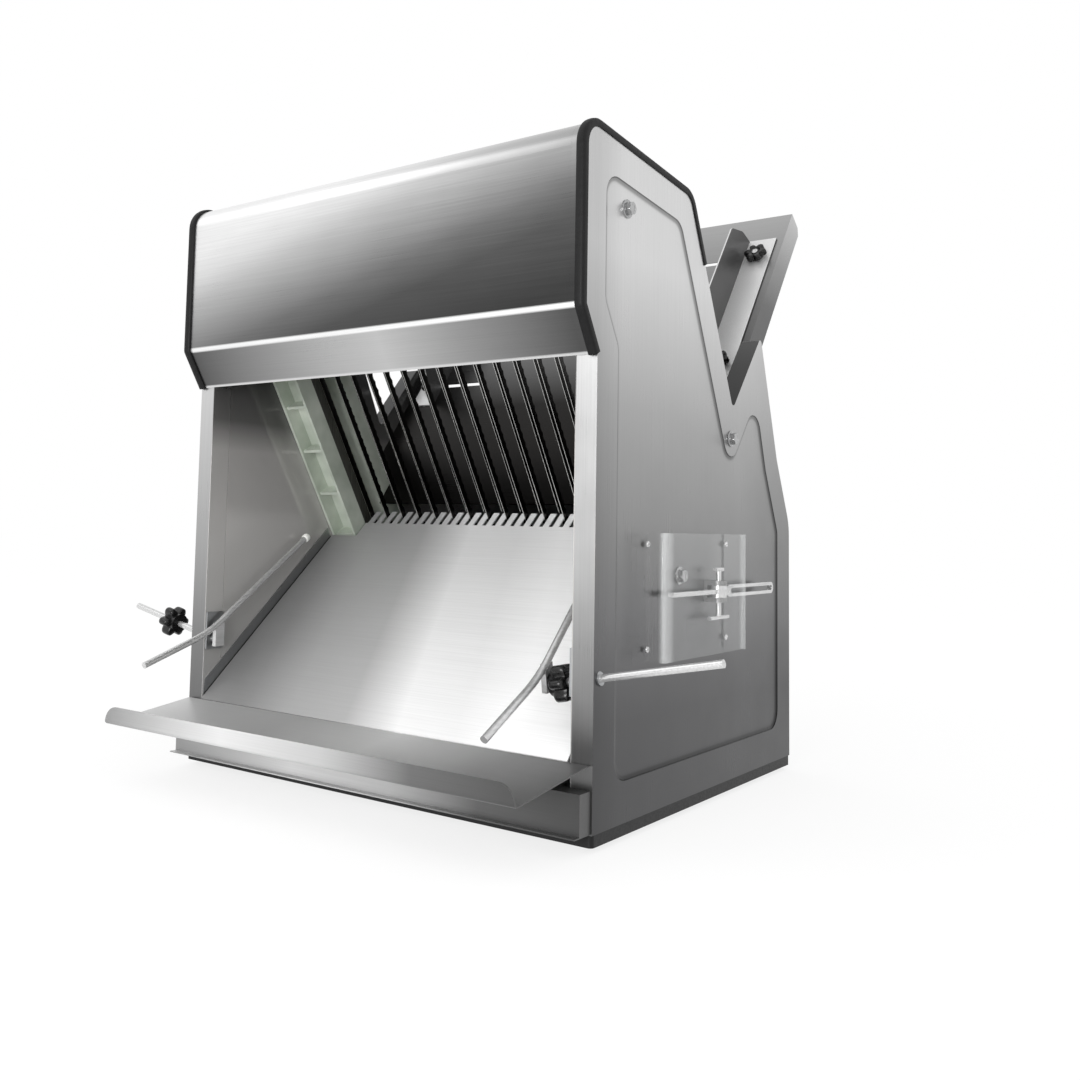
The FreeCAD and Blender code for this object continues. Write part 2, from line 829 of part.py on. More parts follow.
def blades(side):
    """Blade set of one frame: thin strips with a clip at each end, held between the bars."""
    first = 0 if side > 0 else 1
    top = bar_thickness - frame_top
    bottom = frame_bottom - bar_thickness
    near = side * blade_offset
    far = side * (blade_offset + blade_width)
    pieces = []
    for x in blade_places(first):
        half = blade_thickness / 2
        clip_half = blade_clip_width / 2
        strip_body = prism(rectangle(knife, top, bottom, near, far), x - half, x + half)
        high_side = rectangle(knife, top, top + blade_clip_length, near, far)
        low_side = rectangle(knife, bottom - blade_clip_length, bottom, near, far)
        high_clip = prism(high_side, x - clip_half, x + clip_half)
        low_clip = prism(low_side, x - clip_half, x + clip_half)
        pieces.append(joined([strip_body, high_clip, low_clip]))
    return Part.makeCompound(pieces)


def connecting_rod(side):
    """Rod from a frame's pin to its crank pin, with two eyes and a waisted shank."""
    top = knife(rod_pin_drop, 0)
    low = knife(crank_drop, side * stroke)
    down = way(top, low)
    sideways = (-down[1], down[0])
    x_low = -side * rod_x - rod_thickness / 2
    x_high = x_low + rod_thickness
    top_eye = rod_eye
    low_eye = crank_pin_radius + rod_eye_wall
    half = rod_shank / 2
    length = math.hypot(low[0] - top[0], low[1] - top[1])
    shank = [
        placed(top, down, sideways, 0, half, 0),
        placed(top, down, sideways, 0, -half, 0),
        placed(top, down, sideways, length, -half - 2, 0),
        placed(top, down, sideways, length, half + 2, 0),
    ]
    web = [
        placed(top, down, sideways, top_eye + 4, half - 3, 1),
        placed(top, down, sideways, top_eye + 4, 3 - half, 1),
        placed(top, down, sideways, length - low_eye - 4, 3 - half, 1),
        placed(top, down, sideways, length - low_eye - 4, half - 3, 1),
    ]
    quarter = rod_thickness / 4
    solid = joined([prism(shank, x_low, x_high), rod_across(top_eye, x_low, x_high, top),
                    rod_across(low_eye, x_low, x_high, low)])
    return solid.cut([
        rod_across(rod_pin_radius + shaft_fit, x_low - cut_beyond, x_high + cut_beyond, top),
        rod_across(crank_pin_radius + shaft_fit, x_low - cut_beyond, x_high + cut_beyond, low),
        prism(web, x_low - 1, x_low + quarter),
        prism(web, x_high - quarter, x_high + cut_beyond),
    ])


def crankshaft():
    """Short shaft with a crank disc and an outward pin at each end, half a turn apart."""
    centre = knife(crank_drop, 0)
    pin_face = rod_x - rod_thickness / 2 - slide_gap
    disc_high = pin_face - crank_disc_gap()
    disc_low = disc_high - crank_disc_thickness
    pieces = [rod_across(crank_shaft_radius, -disc_low, disc_low, centre)]
    for side in (1, -1):
        ends = sorted((-side * disc_low, -side * disc_high))
        disc = rod_across(crank_disc_radius, ends[0], ends[1], centre)
        weight = rod_across(crank_shaft_radius, ends[0] - cut_beyond, ends[1] + cut_beyond,
                            knife(crank_drop, -side * stroke))
        pieces.append(disc.cut(weight))
        ends = sorted((-side * disc_high, -side * pin_face))
        pieces.append(rod_across(crank_pin_radius, ends[0], ends[1], knife(crank_drop, side * stroke)))
    return joined(pieces)


def crank_disc_gap():
    """Room between a crank disc and the connecting rod beside it."""
    return crank_pin_radius / 2


def groove(radius, clearance):
    """Side outline of the belt, or of the groove round it, in a plane through a pulley's axis."""
    top = radius + belt_proud
    half_top = belt_top_width / 2 + clearance
    half_bottom = belt_bottom_width / 2 + clearance
    low = top - belt_thickness - clearance
    return half_top, half_bottom, low, top


def pulley(radius, bore, centre):
    """Grooved belt pulley on the middle plane, with a dished web."""
    half = pulley_width / 2
    half_top, half_bottom, low, top = groove(radius, slide_gap)
    wheel = rod_across(radius, -half, half, centre)
    profile = [
        Vec(-half_top, top, 0),
        Vec(half_top, top, 0),
        Vec(half_bottom, low, 0),
        Vec(-half_bottom, low, 0),
    ]
    ring = Part.Face(Part.makePolygon(profile + profile[:1])).revolve(Vec(0, 0, 0), Vec(1, 0, 0), 360)
    ring.translate(at(centre, 0))
    wheel = wheel.cut(ring)
    return wheel.cut(rod_across(bore, -half - cut_beyond, half + cut_beyond, centre))


def driven_pulley():
    """Large pulley with lightening holes, on the crankshaft."""
    centre = knife(crank_drop, 0)
    wheel = pulley(pulley_radius, crank_shaft_radius + shaft_fit, centre)
    ring = (crank_shaft_radius + pulley_radius - belt_thickness) / 2 + 1
    hole = (pulley_radius - belt_thickness - crank_shaft_radius) / 4
    holes = []
    for index in range(5):
        direction = heading(72 * index + 90)
        holes.append(rod_across(hole, -pulley_width, pulley_width, along(centre, direction, ring)))
    return wheel.cut(holes)


def motor_centre():
    """Axis of the motor in the side view."""
    return casing_depth - motor_back_gap, base_top + motor_lift + motor_radius


def drive_belt():
    """Vee belt round both pulleys: two arcs and two straight runs."""
    big = knife(crank_drop, 0)
    small = motor_centre()
    distance = math.hypot(small[0] - big[0], small[1] - big[1])
    line = math.degrees(math.atan2(small[1] - big[1], small[0] - big[0]))
    lean = math.degrees(math.acos((pulley_radius - motor_pulley_radius) / distance))
    pieces = []
    run = math.sqrt(distance ** 2 - (pulley_radius - motor_pulley_radius) ** 2)
    for centre, radius, start, sweep in (
            (big, pulley_radius, line + lean, 360 - 2 * lean),
            (small, motor_pulley_radius, line - lean, 2 * lean)):
        section = belt_section(radius, start, centre)
        pieces.append(section.revolve(at(centre, 0), Vec(1, 0, 0), sweep))
    for sign in (1, -1):
        section = belt_section(pulley_radius, line + sign * lean, big)
        direction = heading(line + sign * (lean - 90))
        pieces.append(section.extrude(Vec(0, direction[0] * run, direction[1] * run)))
    return joined(pieces)


def belt_section(radius, angle, centre):
    """Trapezoid of the belt where it leaves or meets a pulley."""
    half_top, half_bottom, low, top = groove(radius, 0.0)
    direction = heading(angle)
    inner = along(centre, direction, low)
    outer = along(centre, direction, top)
    corners = [at(inner, -half_bottom), at(inner, half_bottom), at(outer, half_top), at(outer, -half_top)]
    return Part.Face(Part.makePolygon(corners + corners[:1]))


def crank_bearings():
    """Two bearings in the cheeks of the stand."""
    centre = knife(crank_drop, 0)
    pieces = []
    for side in (1, -1):
        low = side * bearing_x - bearing_width / 2
        ring = rod_across(bearing_radius, low, low + bearing_width, centre)
        bore = rod_across(crank_shaft_radius + shaft_fit,
                          low - cut_beyond, low + bearing_width + cut_beyond, centre)
        pieces.append(ring.cut(bore))
    return Part.makeCompound(pieces)


def bearing_stand():
    """Welded stand on the base pan: a foot plate and two cheeks bored for the bearings."""
    centre = knife(crank_drop, 0)
    foot_top = base_top + stand_foot
    front = centre[0] - 1.4 * bearing_radius
    head = bearing_radius + stand_sheet
    foot = box(-stand_half_width, stand_half_width, front - stand_sheet, front + stand_length,
               base_top, foot_top)
    outline = [
        level(front, base_top),
        level(centre[0] - head, centre[1]),
        level(centre[0] - head, centre[1] + head, head - 1),
        level(centre[0] + head, centre[1] + head, head - 1),
        level(centre[0] + head, centre[1]),
        level(front + stand_length, base_top),
    ]
    cheeks = both_sides(prism(outline, bearing_x - stand_sheet / 2, bearing_x + stand_sheet / 2))
    bore = rod_across(bearing_radius + shaft_fit, -half_width, half_width, centre)
    return joined([foot] + cheeks).cut(bore)


def motor():
    """Induction motor: two end bells, a finned body, a bored nose and a terminal box."""
    centre = motor_centre()
    right = motor_start_x
    left = motor_start_x - motor_length
    core = rod_across(motor_radius - motor_fin - cut_beyond, left + cut_beyond, right - cut_beyond, centre)
    bells = [rod_across(motor_radius, left, left + motor_bell, centre),
             rod_across(motor_radius, right - motor_bell, right, centre)]
    bells[0] = bells[0].makeFillet(motor_fin, [bells[0].Edges[edge_at_x(bells[0], left)]])
    bells[1] = bells[1].makeFillet(motor_fin, [bells[1].Edges[edge_at_x(bells[1], right)]])
    nose = rod_across(motor_nose_radius, right - 1, right + motor_nose_length, centre)
    pieces = [core] + bells + [nose]
    for index in range(motor_fin_count):
        angle = 360 * index / motor_fin_count
        fin = box(left + 2, right - 2, 0, motor_radius - cut_beyond,
                  -motor_fin_thickness / 2, motor_fin_thickness / 2)
        fin.rotate(Vec(0, 0, 0), Vec(1, 0, 0), angle)
        fin.translate(at(centre, 0))
        pieces.append(fin)
    middle = (left + right) / 2
    top = centre[1] + motor_radius
    pieces.append(box(middle - terminal_length / 2, middle + terminal_length / 2,
                      centre[0] - terminal_width / 2, centre[0] + terminal_width / 2,
                      centre[1], top + terminal_rise))
    shaft_hole = rod_across(motor_shaft_radius + shaft_fit, right - motor_shaft_sink,
                            right + motor_nose_length + cut_beyond, centre)
    return joined(pieces).cut(shaft_hole)


def edge_at_x(shape, x):
    """Index of the round edge of a cylinder that lies at one end."""
    for index, edge in enumerate(shape.Edges):
        if abs(edge.BoundBox.XMax - x) < 0.01 and abs(edge.BoundBox.XMin - x) < 0.01:
            return index
    return 0


def motor_shaft():
    """Motor shaft from inside the nose to past the small pulley."""
    return rod_across(motor_shaft_radius, motor_start_x - motor_shaft_sink + cut_beyond,
                      pulley_width / 2 + 4, motor_centre())


def motor_mount():
    """Cradle on the base pan: a foot plate and two ribs hollowed to the motor's end bells."""
    centre = motor_centre()
    right = motor_start_x
    left = motor_start_x - motor_length
    foot = box(left, right, centre[0] - mount_half_depth, centre[0] + mount_half_depth,
               base_top, base_top + mount_sheet)
    outline = [
        level(centre[0] - mount_half_depth, base_top),
        level(centre[0] + mount_half_depth, base_top),
        level(centre[0] + mount_half_depth * 0.8, centre[1] - motor_radius * 0.4),
        level(centre[0] - mount_half_depth * 0.8, centre[1] - motor_radius * 0.4),
    ]
    ribs = []
    for low in (left + (motor_bell - mount_rib) / 2, right - (motor_bell + mount_rib) / 2):
        ribs.append(prism(outline, low, low + mount_rib))
    bed = rod_across(motor_radius, left - cut_beyond, right + cut_beyond, centre)
    return joined([foot] + ribs).cut(bed)


def base_pan():
    """Folded pan under the whole casing, open below."""
    low = base_top - pan_skirt
    pan = box(-half_width, half_width, 0, casing_depth, low, base_top)
    hollow = box(-half_width + pan_sheet, half_width - pan_sheet, pan_sheet, casing_depth - pan_sheet,
                 low - 1, base_top - pan_sheet)
    upright = [edge for edge in pan.Edges if edge.BoundBox.ZLength > pan_skirt - 0.1]
    return pan.makeFillet(2 * pan_sheet, upright).cut(hollow)


def rubber_feet():
    """Four tapered rubber feet under the pan."""
    height = base_top - pan_sheet
    feet = []
    for x in (-foot_x, foot_x):
        for y in (foot_inset, casing_depth - foot_inset):
            feet.append(Part.makeCone(foot_radius * 0.86, foot_radius, height, Vec(x, y, 0)))
    return Part.makeCompound(feet)


def rear_cover_path():
    """Line of the rear cover on the panels' edge, from under the ramp down to the pan."""
    outline = side_outline()
    peak = outline[6]
    waist = outline[7]
    top = crossing(ramp(0, -infeed_flange - 2 * cover_sheet), up_infeed, peak, way(peak, waist))
    return [top, waist, outline[8], outline[9]]


def rear_cover():
    """Bent cover with two columns of louvres and a hole for the cable gland."""
    cover = strip(rear_cover_path(), -cover_sheet, -clear_x, clear_x)
    start = Vec(gland_x, casing_depth - gland_length, gland_z)
    cuts = [Part.makeCylinder(gland_radius + shaft_fit, 2 * gland_length, start, Vec(0, 1, 0))]
    hoods = []
    for index in range(louvre_count):
        z = louvre_first + louvre_pitch * index
        for x in (-1.25 * louvre_length, 0.25 * louvre_length):
            cuts.append(box(x, x + louvre_length, casing_depth - 5, casing_depth + 5,
                            z, z + louvre_height - cover_sheet))
            hood = [level(casing_depth - cover_sheet, z + louvre_height + cover_sheet),
                    level(casing_depth + louvre_rise, z)]
            hoods.append(strip(hood, -cover_sheet, x, x + louvre_length))
    return joined([cover.cut(cuts)] + hoods)


def cable_gland():
    """Gland in the rear cover: a threaded barrel, an outer hexagon and a lock ring inside."""
    barrel = Part.makeCylinder(gland_radius, gland_length + 8, Vec(0, 0, -8))
    nut = hexagon(2 * gland_nut, 7.0)
    dome = Part.makeCone(gland_nut - 1, gland_radius, gland_length - 7, Vec(0, 0, 7))
    ring = Part.makeCylinder(gland_nut, 4, Vec(0, 0, -cover_sheet - 4))
    gland = joined([barrel, nut, dome, ring])
    bore = Part.makeCylinder(gland_radius / 2, 3 * gland_length, Vec(0, 0, -gland_length))
    return turned_to(gland.cut(bore), Vec(gland_x, casing_depth, gland_z), Vec(0, 1, 0))


def hexagon(flats, height):
    """Hexagonal prism on the Z axis, by its width across flats."""
    radius = flats / math.sqrt(3)
    turns = [i * math.pi / 3 for i in range(7)]
    corners = [Vec(radius * math.cos(turn), radius * math.sin(turn), 0) for turn in turns]
    return Part.Face(Part.makePolygon(corners)).extrude(Vec(0, 0, height))


def panel_bolts():
    """Washer-faced hexagon bolts in both side panels."""
    washer = Part.makeCylinder(bolt_washer_radius, bolt_washer)
    bolt = joined([washer, hexagon(bolt_flats, bolt_washer + bolt_head)])
    bolts = []
    for y, z, x in bolt_seats():
        bolts.append(turned_to(bolt, Vec(x, y, z), Vec(1, 0, 0)))
        bolts.append(turned_to(bolt, Vec(-x, y, z), Vec(-1, 0, 0)))
    return Part.makeCompound(bolts)


def bolt_seats():
    """Places of the bolts on a panel and the face that each one sits on."""
    outline = side_outline()
    top_way = way(outline[3], outline[4])
    corner = recess_outline(0.0)[3]
    top = along((corner[0], corner[1] - bolt_corner_drop), top_way, bolt_corner_reach)
    return [
        (top[0], top[1], recess_x),
        (notch_y - notch_radius, notch_height - bolt_notch_drop, half_width),
        (bolt_side_y, bolt_side_z, recess_x),
    ]


def guide_rod(side, rod_x_place, turn):
    """Bent rod beside the slices, welded to its cross stud."""
    bend_point = (rod_bend_y, rod_bend_z, rod_bend_radius)
    top = along(bend_point, heading(rod_upper_angle), rod_upper_length)
    low = along(bend_point, heading(rod_lower_angle), -rod_lower_length)
    arc_start, arc_middle, arc_end = bend(top, bend_point, low)
    inward = way(bend_point, arc_middle)
    centre = along(arc_middle, inward, rod_bend_radius)
    upper = round_run(top, arc_start)
    lower = round_run(arc_end, low)
    radial = Vec(0, arc_start[0] - centre[0], arc_start[1] - centre[1])
    face = Part.Face(Part.Wire(Part.makeCircle(rod_radius, at(arc_start, 0), radial.cross(Vec(1, 0, 0)))))
    curve = face.revolve(at(centre, 0), Vec(-1, 0, 0), rod_upper_angle - rod_lower_angle)
    weld_z = rod_bend_z + (stud_y - rod_bend_y) * math.tan(math.radians(rod_upper_angle))
    link = box(-link_thickness / 2, link_thickness / 2, stud_y - link_half, stud_y + link_half,
               on_stud(side, left_rod_x).z - link_half, weld_z)
    bent = turned_on_stud(joined([upper, curve, lower, link]), side, rod_x_place, turn)
    return joined([bent, stud_bar(side, rod_radius, rod_x_place, stud_end_x)])


def turned_on_stud(shape, side, rod_x_place, turn):
    """A piece of a guide rod turned about its cross stud and carried to its place across."""
    measured = on_stud(side, left_rod_x)
    shape.rotate(Vec(0, measured.y, measured.z), Vec(1, 0, 0), turn)
    shape.translate(Vec(side * rod_x_place, 0, on_stud(side, rod_x_place).z - measured.z))
    return shape


def round_run(start, end):
    """Straight stretch of a guide rod in the side view."""
    direction = at(end, 0) - at(start, 0)
    return Part.makeCylinder(rod_radius, direction.Length, at(start, 0), direction)


def rod_tip(side, rod_x_place, turn):
    """Plastic cap on the upper end of a guide rod."""
    top = along((rod_bend_y, rod_bend_z), heading(rod_upper_angle), rod_upper_length)
    direction = heading(rod_upper_angle)
    cap = Part.makeCone(rod_tip_radius, rod_tip_radius * 0.7, rod_tip_length,
                        at(top, 0), Vec(0, direction[0], direction[1]))
    return turned_on_stud(cap, side, rod_x_place, turn)


def rod_knob(side, low_x):
    """Star knob on a cross stud, hub towards the panel."""
    start = on_stud(side, low_x)
    outward = stud_axis(side)[1]
    knob = star_knob(rod_knob_radius, rod_knob_height)
    bore = Part.makeCylinder(rod_radius + shaft_fit, rod_knob_height + 2, Vec(0, 0, -1))
    return turned_to(knob.cut(bore), start, outward)


def guide_bush(side):
    """Plate on the inner return with a tube through the panel for the cross stud."""
    plate = box(inner_x - bush_plate, inner_x, 1, front_return - 1, bush_plate_low, bush_plate_high)
    if side < 0:
        plate = mirrored(plate)
    tube = stud_bar(side, bush_radius, inner_x - bush_plate + cut_beyond, half_width + bush_proud)
    bore = stud_bar(side, rod_radius + shaft_fit,
                    inner_x - bush_plate - bush_proud, half_width + 2 * bush_proud)
    return joined([plate, tube]).cut(bore)


def clear_guard():
    """Bent clear sheet over the lever, with flanges folded in on the panel and a slot at the back."""
    face = recess_x + guard_depth
    plan = [
        level(guard_front + guard_flange, recess_x),
        level(guard_front, recess_x, guard_bend),
        level(guard_front, face, guard_bend),
        level(guard_back, face, guard_bend),
        level(guard_back, recess_x, guard_bend),
        level(guard_back - guard_flange, recess_x),
    ]
    guard = strip(plan, -guard_sheet, guard_low, guard_top).mirror(Vec(0, 0, 0), Vec(1, 0, -1))
    slot_half = lever_loop_height / 2 + lever_width
    slot = box(recess_x + guard_sheet, face - guard_sheet, guard_back - guard_flange, guard_back + cut_beyond,
               lever_z - slot_half, lever_z + slot_half)
    return guard.cut(slot)


def side_lever():
    """Flat lever with a boss on the clamp screw and a long loop at its rear end."""
    half_bar = lever_bar / 2
    half_loop = lever_loop_height / 2
    low_x = lever_x - lever_width / 2
    high_x = lever_x + lever_width / 2
    front = [
        level(lever_front, lever_z - half_bar),
        level(lever_front, lever_z + half_bar),
        level(lever_pivot_y + lever_boss_radius, lever_z + half_bar),
        level(lever_loop_start - lever_loop_wire, lever_z + half_loop, 4),
        level(lever_back, lever_z + half_loop, half_loop - 0.1),
        level(lever_back, lever_z - half_loop, half_loop - 0.1),
        level(lever_loop_start - lever_loop_wire, lever_z - half_loop, 4),
        level(lever_pivot_y + lever_boss_radius, lever_z - half_bar),
    ]
    half_slot = half_loop - lever_loop_wire
    slot = [
        level(lever_loop_start, lever_z - half_slot, half_slot - 0.1),
        level(lever_loop_start, lever_z + half_slot, half_slot - 0.1),
        level(lever_back - lever_loop_wire, lever_z + half_slot, half_slot - 0.1),
        level(lever_back - lever_loop_wire, lever_z - half_slot, half_slot - 0.1),
    ]
    bar = prism(front, low_x, high_x).cut(prism(slot, low_x - cut_beyond, high_x + cut_beyond))
    foot = Vec(lever_x, lever_pivot_y, lever_z - half_loop)
    boss = Part.makeCylinder(lever_boss_radius, lever_loop_height, foot)
    bore = Part.makeCylinder(screw_radius + shaft_fit, 3 * lever_loop_height,
                             Vec(lever_x, lever_pivot_y, lever_z - 1.5 * lever_loop_height))
    return joined([bar, boss]).cut(bore)


def lever_screw():
    """Vertical clamp screw with a cross bar at each end."""
    shank = Part.makeCylinder(screw_radius, screw_high - screw_low, Vec(lever_x, lever_pivot_y, screw_low))
    pieces = [shank]
    for z, length in ((screw_low, screw_low_grip), (screw_high, screw_high_grip)):
        start = Vec(lever_x, lever_pivot_y - length / 2, z)
        pieces.append(Part.makeCylinder(screw_grip_radius, length, start, Vec(0, 1, 0)))
    return joined(pieces)


def lever_bracket():
    """Bracket on the panel with an ear above and below the lever's boss."""
    gap = lever_loop_height / 2 + slide_gap
    reach = lever_x + ear_half_width
    low_y = lever_pivot_y - ear_half_width
    high_y = lever_pivot_y + ear_half_width
    back = box(recess_x, recess_x + bracket_sheet, low_y, high_y,
               lever_z - gap - ear_thickness, lever_z + gap + ear_thickness)
    clear = Part.makeCylinder(lever_boss_radius + 1, 2 * gap, Vec(lever_x, lever_pivot_y, lever_z - gap))
    pieces = [back.cut(clear)]
    for z in (lever_z - gap - ear_thickness, lever_z + gap):
        ear = box(recess_x, lever_x, low_y, high_y, z, z + ear_thickness)
        nose = Part.makeCylinder(reach - lever_x, ear_thickness, Vec(lever_x, lever_pivot_y, z))
        pieces.append(joined([ear, nose]))
    foot = Vec(lever_x, lever_pivot_y, screw_low)
    bore = Part.makeCylinder(screw_radius + shaft_fit, screw_high - screw_low, foot)
    return joined(pieces).cut(bore)


def switch_box():
    """Rounded switch box on the left-hand panel with two button wells."""
    face = recess_x + switch_depth
    shell = box(-face, -recess_x, switch_y - switch_width / 2, switch_y + switch_width / 2,
                switch_z - switch_height / 2, switch_z + switch_height / 2)
    outer = [edge for edge in shell.Edges if edge.BoundBox.XMin < -recess_x - 0.1]
    shell = shell.makeFillet(switch_edge, outer)
    wells = []
    for sign in (1, -1):
        wells.append(rod_across(button_radius + slide_gap, -face - 1, -face + button_depth,
                                (switch_y, switch_z + sign * button_pitch / 2)))
    return shell.cut(wells)


def button(sign):
    """Round push button that stands proud of its well."""
    face = recess_x + switch_depth
    z = switch_z + sign * button_pitch / 2
    inner_end = button_depth - button_travel - slide_gap - face
    body = rod_across(button_radius, -face - button_proud, inner_end, (switch_y, z))
    return body.makeChamfer(1.2, [body.Edges[edge_at_x(body, -face - button_proud)]])


def write(name, shape):
    """Shift a piece so that the origin lies under the middle of the machine, and save it."""
    piece = shape.copy()
    piece.translate(Vec(0, -origin_y(), 0))
    piece.exportStep("parts/" + name + ".step")


def origin_y():
    """Middle of the machine's depth, from the tray's lip to the back of the ramp."""
    rear = ramp(infeed_length - infeed_chamfer, -infeed_flange)[0]
    return (rear - tray_front) / 2


def write_pair(name, right):
    """Save a piece and its mirror image."""
    write(name + "_right", right)
    write(name + "_left", mirrored(right))


write("base_pan", base_pan())
write("rubber_feet", rubber_feet())
write_pair("side_panel", side_panel_right())
write_pair("inner_liner", inner_liner_right())
write("hood_cover", hood_cover())
write_pair("hood_trim", hood_trim_right())
write("throat_plate", throat_plate())
write("infeed_plate", infeed_plate())
write_pair("infeed_guide", infeed_guide_right())
write_pair("guide_clamp", guide_clamp_right())
write_pair("infeed_knob_low", infeed_knob_right(guide_knob_low))
write_pair("infeed_knob_high", infeed_knob_right(guide_knob_high))
write("discharge_slope", discharge_slope())
write("discharge_tray", discharge_tray())
write("crumb_drawer", crumb_drawer())
write_pair("guide_column", guide_column_right())
write("front_blade_frame", blade_frame(1))
write("rear_blade_frame", blade_frame(-1))
write("front_frame_arms", frame_arms(1))
write("rear_frame_arms", frame_arms(-1))
write("front_blades", blades(1))
write("rear_blades", blades(-1))
write("front_connecting_rod", connecting_rod(1))
write("rear_connecting_rod", connecting_rod(-1))
write("crankshaft", crankshaft())
write("driven_pulley", driven_pulley())
write("crank_bearings", crank_bearings())
write("bearing_stand", bearing_stand())
write("drive_belt", drive_belt())
write("motor", motor())
write("motor_shaft", motor_shaft())
write("motor_pulley", pulley(motor_pulley_radius, motor_shaft_radius + shaft_fit, motor_centre()))
write("motor_mount", motor_mount())
write("rear_cover", rear_cover())
write("cable_gland", cable_gland())
write("panel_bolts", panel_bolts())
write("guide_rod_left", guide_rod(-1, left_rod_x, 0.0))
write("guide_rod_right", guide_rod(1, right_rod_x, right_rod_turn))
write("guide_tip_left", rod_tip(-1, left_rod_x, 0.0))
write("guide_tip_right", rod_tip(1, right_rod_x, right_rod_turn))
write("guide_knob_left", rod_knob(-1, left_knob_x))
write("guide_knob_right", rod_knob(1, right_knob_x))
write("guide_bush_left", guide_bush(-1))
write("guide_bush_right", guide_bush(1))
write("clear_guard", clear_guard())
write("side_lever", side_lever())
write("lever_screw", lever_screw())
write("lever_bracket", lever_bracket())
write("switch_box", switch_box())
write("start_button", button(1))
write("stop_button", button(-1))
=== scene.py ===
import math

import bmesh
import bpy
from mathutils import Matrix, Vector


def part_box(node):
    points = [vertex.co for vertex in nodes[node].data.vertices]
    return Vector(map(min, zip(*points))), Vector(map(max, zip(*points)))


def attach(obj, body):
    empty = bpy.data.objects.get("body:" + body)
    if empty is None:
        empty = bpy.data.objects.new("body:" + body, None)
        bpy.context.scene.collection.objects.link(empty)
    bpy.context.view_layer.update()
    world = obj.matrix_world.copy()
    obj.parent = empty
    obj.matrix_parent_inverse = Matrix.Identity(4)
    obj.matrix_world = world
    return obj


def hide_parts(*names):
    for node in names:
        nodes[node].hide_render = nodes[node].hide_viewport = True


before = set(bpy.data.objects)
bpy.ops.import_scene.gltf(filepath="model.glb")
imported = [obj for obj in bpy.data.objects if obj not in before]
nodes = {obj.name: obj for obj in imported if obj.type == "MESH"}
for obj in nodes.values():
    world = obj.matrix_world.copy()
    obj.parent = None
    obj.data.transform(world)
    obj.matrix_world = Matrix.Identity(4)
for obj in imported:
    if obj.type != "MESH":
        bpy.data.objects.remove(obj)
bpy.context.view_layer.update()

scene = bpy.context.scene
print("slicer: frame loaded,", len(nodes), "nodes")


# Sizes of the machine that the added pieces share, in mm, with Y from the front flanges

machine = {
    "frontToMiddle": 246.5215,
    "halfWidth": 300.0,
    "innerX": 275.0,
    "recessX": 298.0,
    "depth": 515.0,
    "knifeLine": (266.0, 330.0),
    "bladeLean": 58.5,
    "infeedRise": 53.33,
}


sides = ((-1, "left"), (1, "right"))


def spot(x, y, z):
    return Vector((x, y - machine["frontToMiddle"], z)) / 1000


# Node helpers

def linear(hexColour):
    channels = [int(hexColour[i:i + 2], 16) / 255 for i in (1, 3, 5)]
    return [c / 12.92 if c <= 0.04045 else ((c + 0.055) / 1.055) ** 2.4 for c in channels] + [1.0]


def addNode(tree, kind, settings=None, links=None):
    node = tree.nodes.new(kind)
    for key, value in (settings or {}).items():
        if isinstance(key, str) and hasattr(node, key):
            setattr(node, key, value)
        else:
            node.inputs[key].default_value = value
    for key, source in (links or {}).items():
        tree.links.new(source, node.inputs[key])
    return node


def newMaterial(name, sockets):
    material = bpy.data.materials.new(name)
    material.use_nodes = True
    tree = material.node_tree
    shader = tree.nodes["Principled BSDF"]
    for key, value in sockets.items():
        shader.inputs[key].default_value = linear(value) if isinstance(value, str) else value
    return material, tree, shader


def rampOf(tree, source, stops):
    ramp = addNode(tree, "ShaderNodeValToRGB", links={"Fac": source})
    points = ramp.color_ramp.elements
    while len(points) < len(stops):
        points.new(0.5)
    for point, (place, colour) in zip(points, stops):
        point.position = place
        point.color = linear(colour)
    return ramp.outputs["Color"]


def grainOf(tree, lengthMm, widthMm, along, detail=3.0):
    # noise stretched along one axis: brushing, rolling or casting marks of a real size
    coords = addNode(tree, "ShaderNodeTexCoord")
    scale = [1000 / widthMm] * 3
    scale["xyz".index(along)] = 1000 / lengthMm
    place = addNode(tree, "ShaderNodeMapping", {"Scale": scale}, {"Vector": coords.outputs["Object"]})
    noise = addNode(tree, "ShaderNodeTexNoise", {"Scale": 1.0, "Detail": detail, "Roughness": 0.6},
                    {"Vector": place.outputs["Vector"]})
    return noise.outputs["Fac"]


def heightToNormal(tree, shader, height, distanceMm, strength=1.0):
    bump = addNode(tree, "ShaderNodeBump", {"Distance": distanceMm / 1000, "Strength": strength}, {"Height": height})
    tree.links.new(bump.outputs["Normal"], shader.inputs["Normal"])


def remap(tree, source, low, high, toLow=0.0, toHigh=1.0):
    node = addNode(tree, "ShaderNodeMapRange", {"From Min": low, "From Max": high, "To Min": toLow, "To Max": toHigh},
                   {"Value": source})
    return node.outputs["Result"]


def alongWay(tree, direction, start, length):
    # 0 at start and 1 after length, in metres, along a direction of the machine
    coords = addNode(tree, "ShaderNodeTexCoord")
    dot = addNode(tree, "ShaderNodeVectorMath", {"operation": "DOT_PRODUCT", 1: direction},
                  {0: coords.outputs["Object"]})
    return remap(tree, dot.outputs["Value"], start, start + length)


def faded(tree, fade, name="stops"):
    # painted light and shade: tones that change along one way of the machine; start and length in metres
    return rampOf(tree, alongWay(tree, fade["way"], fade["start"], fade["length"]), fade[name])


def facing(tree, direction, low, high):
    # 0 to 1 as the surface turns to face a fixed direction of the machine
    coords = addNode(tree, "ShaderNodeTexCoord")
    dot = addNode(tree, "ShaderNodeVectorMath", {"operation": "DOT_PRODUCT", 1: direction},
                  {0: coords.outputs["Normal"]})
    return remap(tree, dot.outputs["Value"], low, high)


